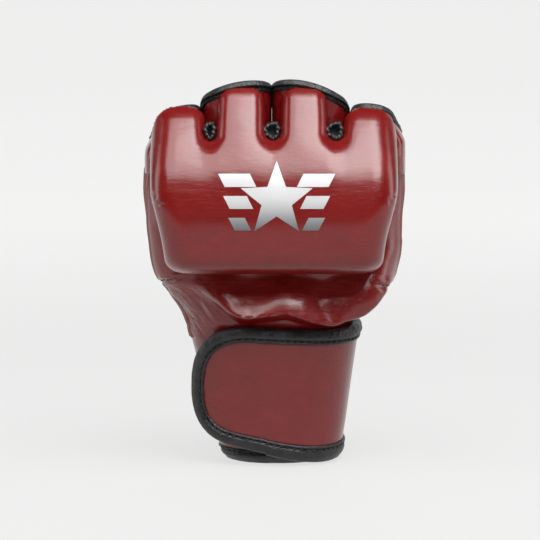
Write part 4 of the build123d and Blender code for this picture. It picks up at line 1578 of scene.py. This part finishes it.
def emblem_outlines():
    """A star between two stacks of slanted bars."""
    star = []
    for k in range(2 * STAR_POINTS):
        size = STAR_REACH * (STAR_WAIST if k % 2 else 1)
        angle = pi * k / STAR_POINTS
        star.append((EMBLEM_X + size * sin(angle), EMBLEM_Z + size * cos(angle)))
    shapes = [star]
    for side in (-1, 1):
        for row, (near, far) in enumerate(BARS):
            top = EMBLEM_Z + BAR_TOP - row * BAR_PITCH
            foot = top - BAR_HEIGHT
            over = [(x + BAR_SLANT, top) for x in (near, far)]
            under = [(x - BAR_SLANT, foot) for x in (far, near)]
            shapes.append([(EMBLEM_X + side * x, z) for x, z in over + under])
    return shapes


def flat_emblem():
    """Points and triangles of the emblem, flat and cut finely enough to follow the pad."""
    mesh = bmesh.new()
    for outline in emblem_outlines():
        corners = [mesh.verts.new((x, 0, z)) for x, z in outline]
        mesh.faces.new(corners)
    cuts = [((0, 0, z), (0, 0, 1)) for z in np.arange(EMBLEM_Z - 22, EMBLEM_Z + 22, 0.9)]
    cuts += [((x, 0, 0), (1, 0, 0)) for x in np.arange(-30, 32, 2.0)]
    for place, way in cuts:
        everything = mesh.verts[:] + mesh.edges[:] + mesh.faces[:]
        bmesh.ops.bisect_plane(mesh, geom=everything, plane_co=place, plane_no=way)
    bmesh.ops.triangulate(mesh, faces=mesh.faces[:])
    mesh.verts.ensure_lookup_table()
    flat = np.array([v.co for v in mesh.verts])
    faces = np.array([[v.index for v in f.verts] + [f.verts[2].index] for f in mesh.faces])
    mesh.free()
    return flat, faces


def emblem():
    """Foil print on the front of the pad, cut to its curve."""
    points, faces = flat_emblem()
    points[:, 1] = -profile_at(points[:, 2] - PAD_FOOT)
    for _ in range(3):
        slope = slope_of(pad_field, points)
        points[:, 1] -= pad_field(points) / slope[:, 1]
    out = unit(slope_of(pad_field, points))
    relief = pad_relief(points)[:, None]
    outer = points + out * (relief + FOIL[0])
    inner = points + out * (relief - FOIL[1])
    count = len(points)
    back = faces[:, [0, 2, 1, 1]] + count
    faces = np.concatenate([faces, back, rim_walls(faces, count, 3)])
    points = np.concatenate([outer, inner])
    carry(make_object("star_emblem", points, faces, SILVER, sharp=SHEET_CREASE), "glove")


emblem()


# ---------------------------------------------------------------- studio
SWEEP_FRONT = -1500.0
SWEEP_BACK = 2600.0
SWEEP_HIGH = 2400.0
SWEEP_BEND = 700.0
SWEEP_HALF = 2600.0           # half its width, in millimetres as the others
LIGHT_AIM = Vector((0, -0.02, 0.10))
LIGHTS = (
    ("wide_softbox", (0, -0.53, 1.20), 1.8, 1.0, 27.0, True),
    ("key_softbox", (0.38, -0.53, 1.19), 0.75, 0.9, 10.0, True),
    ("left_fill", (-1.2, 0.15, 0.45), 0.4, 0.9, 3.0, True),
    ("right_fill", (1.2, 0.15, 0.45), 0.4, 0.9, 3.0, True),
    ("front_fill", (0, -1.7, 0.35), 1.2, 1.2, 9.0, False),
)                             # place, width and height in metres, power, and whether the leather mirrors it
CAMERA_AIM = Vector((-0.00225, -0.0098, 0.0984))
CAMERA_AWAY = 1.6
CAMERA_LIFT = radians(7.5)
VIEW_WIDTH = 0.27             # what the camera sees at its aim
SENSOR = 36.0


def paper_sweep():
    """Pale paper that runs from in front of the glove back and up."""
    side = [(SWEEP_FRONT, 0.0), (SWEEP_BACK - SWEEP_BEND, 0.0)]
    for k in range(1, 17):
        angle = pi / 2 * k / 16
        side.append((SWEEP_BACK - SWEEP_BEND + SWEEP_BEND * sin(angle), SWEEP_BEND - SWEEP_BEND * cos(angle)))
    side.append((SWEEP_BACK, SWEEP_HIGH))
    points = [(x, y - WRIST_Y, z) for x in (-SWEEP_HALF, SWEEP_HALF) for y, z in side]
    count = len(side)
    faces = [(k, k + count, k + 1 + count, k + 1) for k in range(count - 1)]
    made = make_object("paper_sweep", points, faces, paper())


def softbox(name, place, width, height, power, mirrored):
    """A rectangular soft light aimed at the glove."""
    light = bpy.data.lights.new(name, "AREA")
    light.shape = "RECTANGLE"
    light.size = width
    light.size_y = height
    light.energy = power
    made = bpy.data.objects.new(name, light)
    made.location = place
    made.rotation_euler = (LIGHT_AIM - Vector(place)).to_track_quat("-Z", "Y").to_euler()
    made.visible_glossy = mirrored
    bpy.context.scene.collection.objects.link(made)


def surroundings():
    """A nearly dark world, and colours shown as they are."""
    scene = bpy.context.scene
    scene.view_settings.view_transform = "Standard"
    world = bpy.data.worlds.new("studio_dark")
    world.use_nodes = True
    world.node_tree.nodes["Background"].inputs["Color"].default_value = (0.02, 0.02, 0.02, 1)
    scene.world = world


def camera():
    """The camera, in front of the glove and a little above it."""
    data = bpy.data.cameras.new("camera")
    data.sensor_width = SENSOR
    data.lens = SENSOR * CAMERA_AWAY / VIEW_WIDTH
    made = bpy.data.objects.new("camera", data)
    made.location = CAMERA_AIM + CAMERA_AWAY * Vector((0, -cos(CAMERA_LIFT), sin(CAMERA_LIFT)))
    made.rotation_euler = (pi / 2 - CAMERA_LIFT, 0, 0)
    bpy.context.scene.collection.objects.link(made)
    bpy.context.scene.camera = made


paper_sweep()
surroundings()
for row in LIGHTS:
    softbox(*row)
camera()
